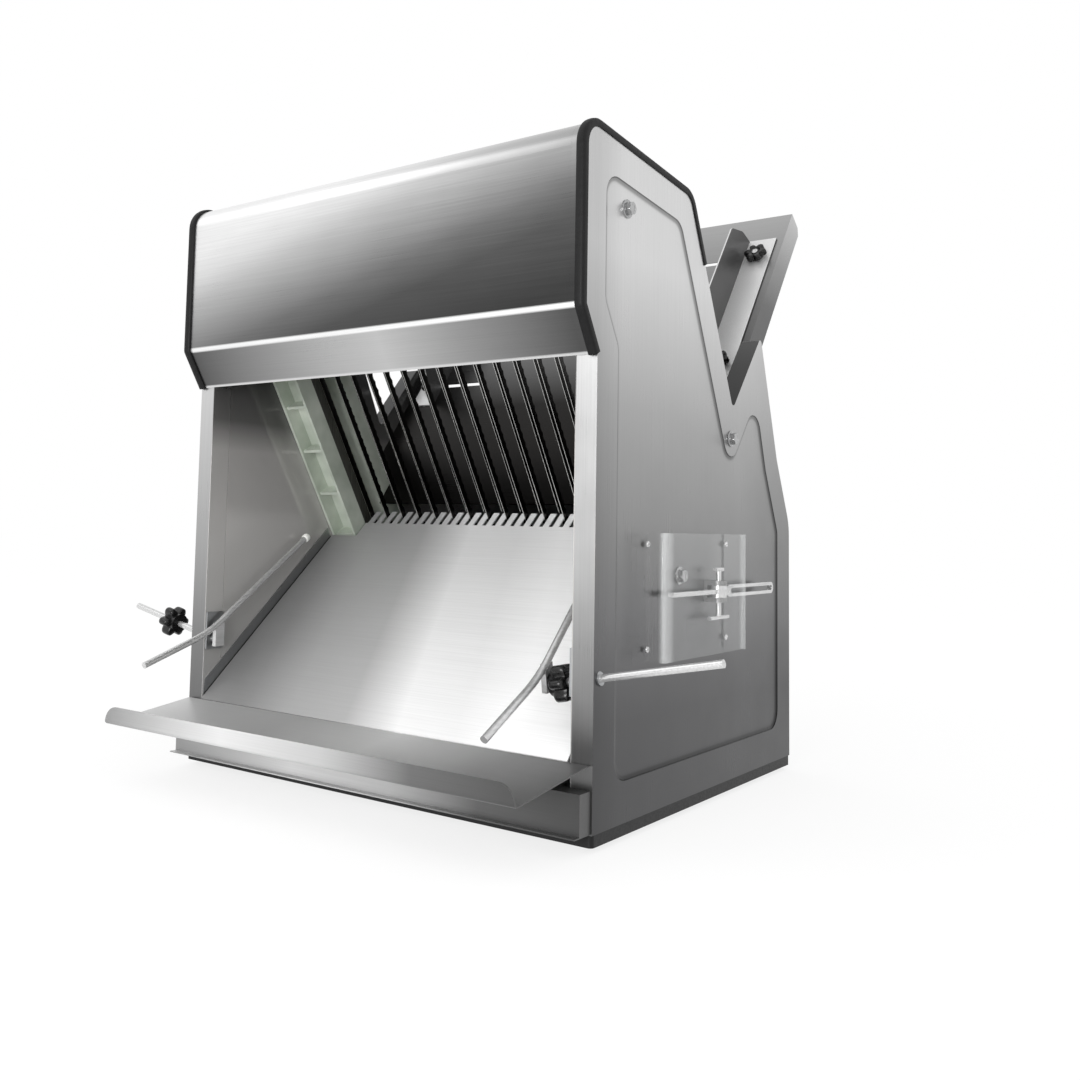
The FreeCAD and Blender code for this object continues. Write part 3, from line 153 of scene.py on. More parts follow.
def sidewaysSize(tree, output):
    # how far from the middle a place lies, or how squarely a face looks to the side
    coords = addNode(tree, "ShaderNodeTexCoord")
    parts = addNode(tree, "ShaderNodeSeparateXYZ", links={0: coords.outputs[output]})
    return addNode(tree, "ShaderNodeMath", {"operation": "ABSOLUTE"}, {0: parts.outputs[0]}).outputs[0]


def mixed(tree, share, first, second):
    node = addNode(tree, "ShaderNodeMix", {"data_type": "RGBA"}, {0: share, 6: first, 7: second})
    return node.outputs[2]


def scaled(tree, colour, factor):
    node = addNode(tree, "ShaderNodeVectorMath", {"operation": "SCALE"}, {0: colour, "Scale": factor})
    return node.outputs["Vector"]


def coat(nodeNames, material):
    for name in nodeNames:
        for slot in nodes[name].material_slots:
            slot.material = material


noiseSpan = (0.3, 0.7)  # most of a noise's values lie between these
upwards, sideways, backwards = (0, 0, 1), (1, 0, 0), (0, 1, 0)


def grained(name, sockets, grain, shades, roughness, depthMm):
    # one grain drives the shade, the roughness and the relief
    material, tree, shader = newMaterial(name, sockets)
    marks = grainOf(tree, *grain)
    tree.links.new(rampOf(tree, marks, shades), shader.inputs["Base Color"])
    tree.links.new(remap(tree, marks, *noiseSpan, *roughness), shader.inputs["Roughness"])
    heightToNormal(tree, shader, marks, depthMm)
    return material


# Brushed stainless sheet: 304 sheet, linished one way, which gives long fine streaks and a soft
# sheen that runs across them. The real scratches are about 0.1 mm wide; they are drawn 1.1 mm
# wide, or they would not show.

brushing = {
    "streakLengthMm": 160.0,
    "streakWidthMm": 1.1,
    "blotchMm": 70.0,
    "roughness": 0.32,
    "roughnessSpread": 0.10,
    "depthMm": 0.012,
    "shadeSpread": 0.045,
}


def brushedSteel(name, along, tone, roughness=None, metallic=1.0):
    material, tree, shader = newMaterial(name, {"Metallic": metallic})
    streak = grainOf(tree, brushing["streakLengthMm"], brushing["streakWidthMm"], along)
    blotch = grainOf(tree, brushing["blotchMm"], brushing["blotchMm"], along, 2.0)
    shade = remap(tree, streak, *noiseSpan, 1 - brushing["shadeSpread"], 1 + brushing["shadeSpread"])
    # the tone holds the part's painted light and shade, and the streaks vary it a little
    tree.links.new(scaled(tree, tone(tree), shade), shader.inputs["Base Color"])
    rough = brushing["roughness"] if roughness is None else roughness
    both = addNode(tree, "ShaderNodeMath", {"operation": "ADD"}, {0: streak, 1: blotch})
    spread = brushing["roughnessSpread"] / 2
    tree.links.new(remap(tree, both.outputs[0], 0.7, 1.3, rough - spread, rough + spread), shader.inputs["Roughness"])
    heightToNormal(tree, shader, streak, brushing["depthMm"])
    return material


def panelTone(tree):
    # painted shade: the sides darken towards the bottom, and the front flanges take a lighter ramp of their own
    tone = mixed(tree, facing(tree, (0, -1, 0), 0.75, 0.95), faded(tree, panelPaintedShade["side"]),
                 faded(tree, panelPaintedShade["flange"]))
    # painted shade: the pressed step round the recess is painted darker than the flat sheet, and so are the front and
    # rear rims
    stepped = scaled(tree, tone, rampOf(tree, sidewaysSize(tree, "Normal"), panelPaintedShade["step"]))
    rimmed = scaled(tree, stepped, faded(tree, panelPaintedShade["rim"]))
    # painted reflection: the flange inside the notch is painted dark, as it mirrors the dark infeed
    return mixed(tree, facing(tree, (0, -0.76, 0.65), 0.9, 0.97), rimmed, faded(tree, panelPaintedShade["notch"]))


panelPaintedShade = {
    "side": {"way": upwards, "start": 0.018, "length": 0.70, "stops": (
        (0.0, "#4E4E4F"), (0.14, "#535354"), (0.20, "#5E5E5F"), (0.30, "#767677"), (0.395, "#868686"),
        (0.49, "#959595"), (0.60, "#A6A6A6"), (0.717, "#BFBFBF"), (0.83, "#D4D4D4"), (0.96, "#D4D4D4"))},
    "flange": {"way": upwards, "start": 0.018, "length": 0.47, "stops": (
        (0.0, "#6E6E6E"), (0.3, "#909090"), (0.55, "#B8B8B8"), (0.8, "#D2D2D2"), (1.0, "#E4E4E4"))},
    "rim": {"way": backwards, "start": -0.2465, "length": 0.515, "stops": (
        (0.0, "#E8E8E8"), (0.1, "#FFFFFF"), (0.68, "#FFFFFF"), (0.82, "#F4F4F4"), (1.0, "#E9E9E9"))},
    "notch": {"way": upwards, "start": 0.46, "length": 0.11, "stops": (
        (0.0, "#3C3C3C"), (0.6, "#4A4A4A"), (1.0, "#5C5C5C"))},
    "step": ((0.0, "#FFFFFF"), (0.3, "#FFFFFF"), (0.45, "#8A8A8A"), (0.94, "#8A8A8A"), (0.985, "#BEBEBE"),
             (0.9985, "#FFFFFF"), (1.0, "#FFFFFF")),
}
# painted shade of the polished liners: darker towards the top, under the hood
linerPaintedShade = {"way": upwards, "start": 0.02, "length": 0.50, "stops": (
    (0.0, "#A0A0A0"), (0.3, "#A9A8A6"), (0.62, "#B4B2B0"), (0.77, "#AEACAA"), (0.85, "#626160"), (1.0, "#363636"))}
linerFinish = {"metallic": 0.35, "roughness": 0.10, "smearRise": 0.08, "smearMm": 14.0, "waveMm": 90.0,
               "waveDepthMm": 0.2}
panelReturn = {"polishedTo": 0.2755, "brushedFrom": 0.2765}
panelSteel = brushedSteel("brushed stainless, side panel", "z", panelTone)
# the returned edges face the liners and are polished with them, and take the liners' painted shade
tree = panelSteel.node_tree
shader = tree.nodes["Principled BSDF"]
outside = remap(tree, sidewaysSize(tree, "Object"), panelReturn["polishedTo"], panelReturn["brushedFrom"])
# the brushed tone of the sheet, with the panel's painted shade
brushed = shader.inputs["Base Color"].links[0].from_socket
tree.links.new(mixed(tree, outside, faded(tree, linerPaintedShade), brushed), shader.inputs["Base Color"])
tree.links.new(remap(tree, outside, 0.0, 1.0, linerFinish["metallic"], 1.0), shader.inputs["Metallic"])
coat(["side_panel_left", "side_panel_right"], panelSteel)


def hoodTone(tree):
    ridge = hoodPaintedShade["ridge"]
    sheet = mixed(tree, faded(tree, ridge, "below"), faded(tree, hoodPaintedShade["front"]), faded(tree, hoodPaintedShade["lip"]))
    return mixed(tree, faded(tree, ridge, "share"), sheet, faded(tree, ridge, "colour"))


# painted light and shade of the hood: the front face light at the top left and dark towards the bottom right, the lip
# lighter in the middle
hoodPaintedShade = {
    "front": {"way": (1.14, 0, -4.762), "start": -3.444, "length": 1.15, "stops": (
        (0.0, "#EBEBEB"), (0.13, "#DADADA"), (0.252, "#BCBCBC"), (0.41, "#9A9A9A"), (0.565, "#717171"),
        (0.713, "#545454"), (0.82, "#4D4D4D"), (1.0, "#3D3D3D"))},
    "lip": {"way": sideways, "start": -0.284, "length": 0.568, "stops": (
        (0.0, "#5E5E5E"), (0.2, "#8E8E8E"), (0.42, "#B4B4B4"), (0.55, "#C2C2C2"), (0.75, "#989898"),
        (1.0, "#565656"))},
    # upwards from 0.480 m: hem edge, lip, folded ridge, front face
    "ridge": {
        "way": upwards, "start": 0.480, "length": 0.060,
        "share": ((0.0, "#FFFFFF"), (0.115, "#FFFFFF"), (0.14, "#000000"), (0.79, "#000000"), (0.82, "#FFFFFF"),
                  (0.875, "#FFFFFF"), (0.91, "#000000"), (1.0, "#000000")),
        "below": ((0.0, "#FFFFFF"), (0.84, "#FFFFFF"), (0.86, "#000000"), (1.0, "#000000")),
        # painted highlights: pale on the hem edge, near white on the folded ridge
        "colour": ((0.0, "#D8D8D8"), (0.5, "#D8D8D8"), (0.6, "#F6F6F6"), (1.0, "#F6F6F6")),
    },
}
hoodSteel = brushedSteel("brushed stainless, hood", "x", hoodTone)
coat(["hood_cover"], hoodSteel)


def slopeTone(tree):
    return faded(tree, slopePaintedShade)


# painted shade: the slope is dark towards the left front, as the painted reflection of the left liner, and light
# towards the right back
slopePaintedShade = {"way": (1, 0.35, 0), "start": -0.3125, "length": 0.425, "stops": (
    (0.0, "#7D7D7D"), (0.085, "#828282"), (0.26, "#9E9E9E"), (0.47, "#A9A9A9"), (0.59, "#D2D2D2"),
    (0.656, "#E8E8E8"), (0.842, "#E6E6E6"), (1.0, "#F6F6F6"))}
coat(["discharge_slope"], brushedSteel("brushed stainless, discharge slope", "x", slopeTone, 0.46, 0.3))


def trayTone(tree):
    return mixed(tree, facing(tree, (0, -1, 0), 0.3, 0.6), faded(tree, trayPaintedShade, "top"), faded(tree, trayPaintedShade, "lip"))


# painted light and shade along the width: the top and the front lip are lighter towards the left and the middle, and
# darker towards the right end
trayPaintedShade = {
    "way": sideways, "start": -0.297, "length": 0.594,
    "top": ((0.0, "#C4C4C4"), (0.35, "#B0B0B0"), (0.6, "#C8C8C8"), (0.85, "#808080"), (1.0, "#525252")),
    "lip": ((0.0, "#868686"), (0.35, "#CCCCCC"), (0.6, "#AEAEAE"), (0.8, "#5C5C5C"), (1.0, "#404040")),
}
coat(["discharge_tray", "crumb_drawer"], brushedSteel("brushed stainless, tray", "x", trayTone, 0.4, 0.4))


def plainTone(tree):
    return faded(tree, plainPaintedShade)


# painted shade: darker towards the bottom
plainPaintedShade = {"way": upwards, "start": 0.0, "length": 0.78, "stops": (
    (0.0, "#9A9C9E"), (0.5, "#B0B1B2"), (1.0, "#C6C6C6"))}
plainSteel = brushedSteel("brushed stainless, plain", "z", plainTone)
coat(["rear_cover", "guide_bush_left", "guide_bush_right"], plainSteel)


def infeedTone(tree):
    # painted shade: the sheet is painted near black down by the knives and lighter upwards, and faces turned to the
    # back take a lighter ramp
    sheet = mixed(tree, facing(tree, (0, 0.8, -0.6), 0.1, 0.4), faded(tree, infeedPaintedShade, "inside"),
                  faded(tree, infeedPaintedShade, "back"))
    # painted shade of the upright flanges: dark below, light above
    upright = remap(tree, sidewaysSize(tree, "Normal"), 0.6, 0.9)
    return mixed(tree, upright, sheet, faded(tree, infeedPaintedShade, "flange"))


infeedPaintedShade = {
    "way": upwards, "start": 0.34, "length": 0.43,
    "inside": ((0.0, "#1D1B1A"), (0.35, "#262524"), (0.55, "#6E6E6E"), (0.8, "#8C8C8C"), (1.0, "#A8A8A8")),
    "back": ((0.0, "#5E5E5E"), (0.5, "#8A8A8A"), (1.0, "#C9C9C9")),
    "flange": ((0.0, "#3A3A3A"), (0.5, "#565656"), (0.66, "#606060"), (0.8, "#888888"), (1.0, "#BEBEBE")),
}
coat(["infeed_plate"], brushedSteel("brushed stainless, infeed plate", "x", infeedTone))


def guideTone(tree):
    # painted light and shade: faces turned to the side are painted dark, the rest light
    upright = remap(tree, sidewaysSize(tree, "Normal"), 0.5, 0.8)
    return mixed(tree, upright, faded(tree, guidePaintedShade, "strip"), faded(tree, guidePaintedShade, "fin"))


guidePaintedShade = {
    "way": upwards, "start": 0.49, "length": 0.26,
    "strip": ((0.0, "#E6E6E6"), (1.0, "#DADADA")),
    "fin": ((0.0, "#3A3A3A"), (1.0, "#555555")),
}
coat(["infeed_guide_left", "infeed_guide_right", "guide_clamp_left", "guide_clamp_right"],
     brushedSteel("brushed stainless, loaf guide", "z", guideTone, 0.34, 0.4))


def throatTone(tree):
    return faded(tree, throatPaintedShade)


# painted shade: the throat plate is painted near black
throatPaintedShade = {"way": upwards, "start": 0.587, "length": 0.061, "stops": ((0.0, "#2A2928"), (1.0, "#4A4A4A"))}
coat(["throat_plate"], brushedSteel("brushed stainless, throat plate", "x", throatTone))
print("slicer: sheet steel done")


# Mirror polished stainless liners: a soft, slightly wavy reflection with wiping smears, over a tone with painted shade,
# dark towards the top

material, tree, shader = newMaterial("mirror polished stainless, liner", {"Metallic": linerFinish["metallic"]})
tree.links.new(faded(tree, linerPaintedShade), shader.inputs["Base Color"])
smear = grainOf(tree, linerFinish["smearMm"] * 4, linerFinish["smearMm"], "z")
tree.links.new(remap(tree, smear, 0.3, 0.75, linerFinish["roughness"],
                     linerFinish["roughness"] + linerFinish["smearRise"]), shader.inputs["Roughness"])
heightToNormal(tree, shader, grainOf(tree, linerFinish["waveMm"], linerFinish["waveMm"], "z", 0.0),
               linerFinish["waveDepthMm"])
coat(["inner_liner_left", "inner_liner_right"], material)


# Satin powder coat on the pressed steel base: black with a faint orange peel.
# The peel is drawn at 1.6 mm, coarser than the real 0.6 mm.

# painted shade: the black of the base also stands in for the dark shadow gap under the machine
material, tree, shader = newMaterial("powder coated steel, satin black",
                                     {"Base Color": "#0B0B0C", "IOR": 1.5, "Specular IOR Level": 0.3})
orangePeel = grainOf(tree, 1.6, 1.6, "x", 1.0)
tree.links.new(remap(tree, orangePeel, *noiseSpan, 0.38, 0.52), shader.inputs["Roughness"])
heightToNormal(tree, shader, orangePeel, 0.03)
coat(["base_pan"], material)


# Extruded EPDM rubber: matt black with a dusty drag along its length

rubberBlack, tree, shader = newMaterial("EPDM rubber, extruded black", {"IOR": 1.5, "Specular IOR Level": 0.22})
dusting = grainOf(tree, 30.0, 4.0, "x", 4.0)
tree.links.new(rampOf(tree, dusting, ((0.3, "#080808"), (0.75, "#141415"))), shader.inputs["Base Color"])
tree.links.new(remap(tree, dusting, *noiseSpan, 0.42, 0.6), shader.inputs["Roughness"])
heightToNormal(tree, shader, grainOf(tree, 0.9, 0.9, "x", 2.0), 0.02)
coat(["rubber_feet", "hood_trim_left", "hood_trim_right", "drive_belt"], rubberBlack)


# Moulded phenolic: gloss black with the faint flow and finger marks of a handled knob

knobBlack = grained("moulded phenolic, gloss black", {"IOR": 1.57, "Specular IOR Level": 0.35}, (5.0, 5.0, "x"),
                    ((0.35, "#060606"), (0.8, "#101011")), (0.2, 0.34), 0.03)


# Machined UHMW polyethylene columns: dark, waxy, with cutter marks 1.5 mm apart

columnPlastic = grained("machined UHMW polyethylene, dark", {"IOR": 1.51, "Specular IOR Level": 0.35},
                        (60.0, 1.5, "z"), ((0.3, "#403F3C"), (0.7, "#5E5C57")), (0.42, 0.6), 0.02)
coat(["guide_column_left", "guide_column_right"], columnPlastic)


# Moulded ABS: black with a fine spark texture, drawn at 0.9 mm instead of 0.3 mm

absBlack = grained("moulded ABS, fine spark texture, black", {"IOR": 1.53, "Specular IOR Level": 0.4},
                   (0.9, 0.9, "x", 2.0), ((0.3, "#151617"), (0.7, "#202122")), (0.45, 0.6), 0.04)
coat(["switch_box", "cable_gland"], absBlack)


# Cast aluminium with a thin pale grey-green coat: a grainy skin over a slowly varying tone

material, tree, shader = newMaterial("cast aluminium, pale grey-green coat", {"Metallic": 0.3})
castSkin = grainOf(tree, 2.2, 2.2, "x", 3.0)
flow = grainOf(tree, 45.0, 45.0, "x", 2.0)
tree.links.new(rampOf(tree, flow, ((0.3, "#A5ADA1"), (0.55, "#B9C0B5"), (0.8, "#CBD0C6"))),
               shader.inputs["Base Color"])
tree.links.new(remap(tree, castSkin, *noiseSpan, 0.38, 0.55), shader.inputs["Roughness"])
heightToNormal(tree, shader, castSkin, 0.07)
coat([name for name in nodes if name.endswith(("blade_frame", "frame_arms"))], material)


# Turned, ground and polished steel: rings or drag lines round or along the piece

def workedSteel(name, base, worn, roughness, along, widthMm, metallic=1.0):
    return grained(name, {"Metallic": metallic}, (40.0, widthMm, along), ((0.3, base), (0.72, worn)),
                   (roughness - 0.05, roughness + 0.07), 0.012)


machinedSteel = workedSteel("turned steel, light oil", "#7B7C7C", "#A8A9A8", 0.28, "y", 1.0)
coat(["front_connecting_rod", "rear_connecting_rod", "crankshaft", "crank_bearings", "motor_shaft"], machinedSteel)
polishedSteel = workedSteel("polished stainless rod", "#BDBDBD", "#DADADA", 0.2, "y", 2.0, 0.7)
coat(["guide_rod_left", "guide_rod_right", "side_lever", "lever_screw"], polishedSteel)
boltSteel = workedSteel("zinc plated bolt steel", "#8C8D8E", "#C4C4C4", 0.24, "z", 1.2)
bracketSteel = workedSteel("milled steel bracket, satin", "#7C7C7C", "#949494", 0.4, "y", 1.2, 0.8)
coat(["lever_bracket"], bracketSteel)
castIron = workedSteel("machined cast iron", "#3C3D3F", "#5A5B5D", 0.42, "x", 1.4)
coat(["driven_pulley", "motor_pulley"], castIron)


# Machine enamel on the motor and its stand: grey, brushed on, with soft run marks

enamel = grained("machine enamel, grey", {"IOR": 1.5}, (9.0, 9.0, "x"), ((0.3, "#5A6266"), (0.7, "#6C757A")),
                 (0.32, 0.46), 0.04)
coat(["motor", "motor_mount", "bearing_stand"], enamel)


# Small moulded plastics: even colour with faint flow marks all over

def mouldedPlastic(name, base, lighter, roughness):
    return grained(name, {"IOR": 1.49}, (6.0, 6.0, "x", 2.0), ((0.3, base), (0.75, lighter)),
                   (roughness, roughness + 0.1), 0.02)


nylonWhite = mouldedPlastic("moulded nylon, white", "#DEDEDA", "#ECECE8", 0.35)
buttonGreen = mouldedPlastic("moulded PBT, green", "#0E7A35", "#158A40", 0.25)
buttonRed = mouldedPlastic("moulded PBT, red", "#B01117", "#C41A1F", 0.25)


# Cast acrylic: clear sheet with wiping marks, and a painted white sheen over what is behind it as a light veil

guardPaintedSheen = {
    # painted sheen: the two bends are painted with more white than the flat face, and the flanges behind it with almost
    # none
    "way": backwards, "start": -0.1455, "length": 0.212,
    "stops": ((0.0, "#8C8C8C"), (0.07, "#7C7C7C"), (0.10, "#464646"), (0.92, "#464646"), (0.95, "#7C7C7C"),
              (1.0, "#8C8C8C")),
    "flangeTo": 0.317,
    "faceFrom": 0.323,
    "face": ((0.0, "#303030"), (1.0, "#FFFFFF")),
}
material, tree, shader = newMaterial("cast acrylic, clear", {"Base Color": "#F1F3F3", "IOR": 1.49})
wipes = grainOf(tree, 70.0, 3.0, "z")
tree.links.new(remap(tree, wipes, 0.4, 0.8, 0.04, 0.12), shader.inputs["Roughness"])
heightToNormal(tree, shader, wipes, 0.01)
fromMiddle = remap(tree, sidewaysSize(tree, "Object"), guardPaintedSheen["flangeTo"], guardPaintedSheen["faceFrom"])
seen = addNode(tree, "ShaderNodeVectorMath", {"operation": "MULTIPLY"},
               {0: faded(tree, guardPaintedSheen), 1: rampOf(tree, fromMiddle, guardPaintedSheen["face"])})
tree.links.new(seen.outputs["Vector"], shader.inputs["Alpha"])
coat(["clear_guard"], material)
print("slicer: materials done")


# Mesh helpers for the added pieces

def starEdge(radius, lobes, bite):
    # wide lobes with narrower valleys between them
    return lambda turn: radius * (1 - bite * (0.5 - 0.5 * math.cos(lobes * turn)) ** 1.6)


def hexEdge(flats, cap):
    # hexagon across flats, cut back to a circle where the corners are chamfered
    return lambda turn: min(cap, flats / 2 / math.cos((turn % (math.pi / 3)) - math.pi / 6))


def spun(rows, steps, start, axis, turn=0.0, pick=0):
    # rings along an axis; rows are (radius or outline of the ring, distance along), in mm
    axis = Vector(axis).normalized()
    side = axis.orthogonal().normalized()
    if abs(axis.z) < 0.95:
        side = axis.cross(Vector((0, 0, 1))).normalized()
    other = axis.cross(side)
    points = []
    faces = []
    for outline, along in rows:
        for index in range(steps):
            angle = 2 * math.pi * index / steps
            reach = (outline(angle) if callable(outline) else outline) / 1000
            angle += turn
            ring = side * (math.cos(angle) * reach) + other * (math.sin(angle) * reach)
            points.append(start + axis * (along / 1000) + ring)
    for row in range(len(rows) - 1):
        for index in range(steps):
            following = (index + 1) % steps
            faces.append((row * steps + index, row * steps + following,
                          (row + 1) * steps + following, (row + 1) * steps + index))
    faces.append(tuple(range(steps))[::-1])
    last = (len(rows) - 1) * steps
    faces.append(tuple(range(last, last + steps)))
    return points, faces, pick


def pressed(outline, start, across, up, out, depth, pick):
    # flat outline in mm given thickness along the third direction
    points = [start + across * (a / 1000) + up * (b / 1000) for a, b in outline]
    points += [point + out * (depth / 1000) for point in points]
    count = len(outline)
    faces = [tuple(range(count))[::-1], tuple(range(count, 2 * count))]
    faces += [(i, (i + 1) % count, count + (i + 1) % count, count + i) for i in range(count)]
    return points, faces, pick


creaseDegrees = 38


def makePiece(name, shells, materials, body):
    # one object from several closed shells; each shell is (points, faces, material index)
    mesh = bpy.data.meshes.new(name)
    points = []
    faces = []
    picks = []
    for shellPoints, shellFaces, pick in shells:
        base = len(points)
        points += shellPoints
        faces += [tuple(base + i for i in face) for face in shellFaces]
        picks += [pick] * len(shellFaces)
    mesh.from_pydata(points, [], faces)
    for material in materials:
        mesh.materials.append(material)
    for polygon, pick in zip(mesh.polygons, picks):
        polygon.material_index = pick
    work = bmesh.new()
    work.from_mesh(mesh)
    bmesh.ops.recalc_face_normals(work, faces=work.faces)
    for face in work.faces:
        face.smooth = True
    for edge in work.edges:
        edge.smooth = edge.calc_face_angle(0.0) < math.radians(creaseDegrees)
    work.to_mesh(mesh)
    work.free()
    piece = bpy.data.objects.new(name, mesh)
    scene.collection.objects.link(piece)
    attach(piece, body)
    return piece


# Swept strips that follow a panel's edge: the rubber edge trims and the pressed coves of the recess

panelEdge = {
    # y, z and bend radius of each corner
    "corners": ((0.0, 18.0, 0.0), (0.0, 486.0, 0.0), (-27.5, 531.0, 5.0), (-27.5, 722.0, 27.0),
                (211.0, 701.0, 25.0), (329.0, 462.0, 6.0), (417.0, 565.0, 5.0), (472.0, 408.0, 60.0),
                (515.0, 323.0, 60.0), (515.0, 18.0, 0.0)),
    "recessInset": 43.0,
    "recessRadius": 22.0,
    "trimBack": 84.0,
    "bendSteps": 10,
}


def insetCorners(corners, inset):
    # same outline, a steady distance inside; corners run clockwise seen from the right-hand side
    moved = []
    for index, (y, z, radius) in enumerate(corners):
        before, after = corners[index - 1], corners[(index + 1) % len(corners)]
        arrive = Vector((y - before[0], z - before[1])).normalized()
        leave = Vector((after[0] - y, after[1] - z)).normalized()
        share = inset / (1 + arrive.dot(leave))
        moved.append((y + (arrive.y + leave.y) * share, z - (arrive.x + leave.x) * share))
    return moved


def bentLine(corners, radii, closed):
    # points along a line with rounded corners, each with its way to the outside
    places = []
    count = len(corners)
    for index, (y, z) in enumerate(corners):
        here = Vector((y, z))
        before = Vector(corners[index - 1]) if closed or index else None
        after = Vector(corners[(index + 1) % count]) if closed or index < count - 1 else None
        arrive = (here - before).normalized() if before else (after - here).normalized()
        leave = (after - here).normalized() if after else arrive
        outward = lambda way: Vector((-way.y, way.x))
        angle = math.acos(max(-1.0, min(1.0, arrive.dot(leave))))
        if radii[index] < 0.01 or angle < 0.01:
            middle = (outward(arrive) + outward(leave)).normalized()
            places.append((here, middle / max(0.2, math.cos(angle / 2))))
            continue
        reach = radii[index] * math.tan(angle / 2)
        turn = -1 if arrive.x * leave.y - arrive.y * leave.x < 0 else 1
        start = here - arrive * reach
        centre = start - outward(arrive) * radii[index] * -turn
        for step in range(panelEdge["bendSteps"] + 1):
            part = turn * angle * step / panelEdge["bendSteps"]
            way = Vector((arrive.x * math.cos(part) - arrive.y * math.sin(part),
                          arrive.x * math.sin(part) + arrive.y * math.cos(part)))
            places.append((centre + outward(way) * radii[index] * -turn, outward(way)))
    return places


def sweptShell(places, section, side, closed, pick):
    # section is a loop of (distance from the middle of the machine, distance to the outside)
    points = []
    faces = []
    ring = len(section)
    for place, outward in places:
        for x, offset in section:
            spotted = place + outward * offset
            points.append(spot(side * x, spotted.x, spotted.y))
    spans = len(places) if closed else len(places) - 1
    for row in range(spans):
        following = (row + 1) % len(places)
        for index in range(ring):
            beside = (index + 1) % ring
            faces.append((row * ring + index, row * ring + beside,
                          following * ring + beside, following * ring + index))
    if not closed:
        last = (len(places) - 1) * ring
        faces += [tuple(range(ring)), tuple(range(last, last + ring))]
    return points, faces, pick


edgeTrim = {
    "bead": ((290.6, 0.2), (290.6, 2.4), (291.0, 3.4), (291.9, 4.3), (293.2, 4.8), (295.4, 5.0), (298.0, 5.0),
             (299.9, 4.6), (301.0, 3.6), (301.5, 2.2), (301.5, -3.0), (301.3, -3.7), (300.8, -4.0),
             (300.1, -3.8), (300.1, 0.2)),
    "sheet": ((284.02, 0.0), (284.02, 1.5), (290.9, 1.5), (290.9, 0.0)),
}
trimCorners = [corner[:2] for corner in panelEdge["corners"][1:5]]
trimRadii = [corner[2] for corner in panelEdge["corners"][1:5]]
rear, notch = Vector(trimCorners[-1]), Vector(panelEdge["corners"][5][:2])
trimCorners.append(tuple(rear + (notch - rear).normalized() * panelEdge["trimBack"]))
trimRadii += [0.0]
trimLine = bentLine(trimCorners, trimRadii, False)
for side, sideName in sides:
    bead = makePiece("edge_trim_" + sideName, [sweptShell(trimLine, edgeTrim["bead"], side, False, 0)], [rubberBlack],
                     "root")
    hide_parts("hood_trim_" + sideName)
    makePiece("hood_end_sheet_" + sideName, [sweptShell(trimLine, edgeTrim["sheet"], side, False, 0)], [hoodSteel],
              "root")

cove = {"width": 6.5, "rise": 1.0, "steps": 6, "overlap": 0.6, "proud": 0.03, "sunk": 0.2}
coveSection = [(machine["recessX"], cove["overlap"])]
for step in range(cove["steps"] + 1):
    share = step / cove["steps"]
    coveSection.append((machine["recessX"] + cove["rise"] * (1 - share) ** 2 + cove["proud"],
                        cove["overlap"] - share * (cove["width"] + cove["overlap"])))
coveSection.append((machine["recessX"] - cove["sunk"], -cove["width"]))
recessCorners = insetCorners(panelEdge["corners"], panelEdge["recessInset"])
recessLine = bentLine(recessCorners, [panelEdge["recessRadius"]] * len(recessCorners), True)
for side, sideName in sides:
    makePiece("recess_cove_" + sideName, [sweptShell(recessLine, coveSection, side, True, 0)], [panelSteel],
              "root")
print("slicer: edge trims and coves done")


# Star knobs: six rounded lobes, a dished top with a pressed-in steel nut, a short hub underneath

starKnobs = {
    "lobes": 6,
    "bite": 0.36,
    "railRadius": 16.0,
    "railHeight": 12.0,
    "railX": 244.0,
    "railUp": {"low": 251.0, "high": 465.0},
    "railSeat": 2.6,
    "railStud": (3.0, -18.4, 1.0),
    "studRadius": 20.0,
    "studHeight": 22.0,
    "insertShare": 0.27,
    "threadPitch": 1.25,
}


def starShells(radius, height, start, axis):
    hub = radius * 0.62
    core = radius * starKnobs["insertShare"]
    lobed = lambda share: starEdge(radius * share, starKnobs["lobes"], starKnobs["bite"])
    # (radius or lobed outline, share of the height)
    grip = [(hub * 0.7, 0.0), (hub, 0.05), (hub, 0.26), (lobed(0.90), 0.29), (lobed(0.985), 0.36), (lobed(1.0), 0.46),
            (lobed(1.0), 0.80), (lobed(0.975), 0.92), (lobed(0.90), 0.985), (lobed(0.80), 1.0), (radius * 0.52, 1.0),
            (radius * 0.46, 0.94), (radius * 0.34, 0.88)]
    nut = [(core * 0.9, 0.86), (core, 0.89), (core, 0.955), (core * 0.86, 0.975), (core * 0.5, 0.975),
           (core * 0.42, 0.93)]
    grip, nut = ([(outline, height * share) for outline, share in rows] for rows in (grip, nut))
    return [spun(grip, 72, start, axis), spun(nut, 24, start, axis, pick=1)]


def threadShell(radius, low, high, start, axis, pitch):
    rows = [(radius * 0.8, low)]
    place = low + pitch / 2
    while place < high - pitch:
        rows += [(radius * 0.88, place), (radius, place + pitch / 2)]
        place += pitch
    rows += [(radius * 0.86, high - pitch / 3), (radius * 0.62, high)]
    return spun(rows, 24, start, axis, pick=1)


infeedUp = Vector((0, math.cos(math.radians(machine["infeedRise"])), math.sin(math.radians(machine["infeedRise"]))))
infeedOut = Vector((0, -infeedUp.z, infeedUp.y))
knifePoint = spot(0, *machine["knifeLine"])


def onInfeed(x, up, off):
    return knifePoint + Vector((x / 1000, 0, 0)) + infeedUp * (up / 1000) + infeedOut * (off / 1000)


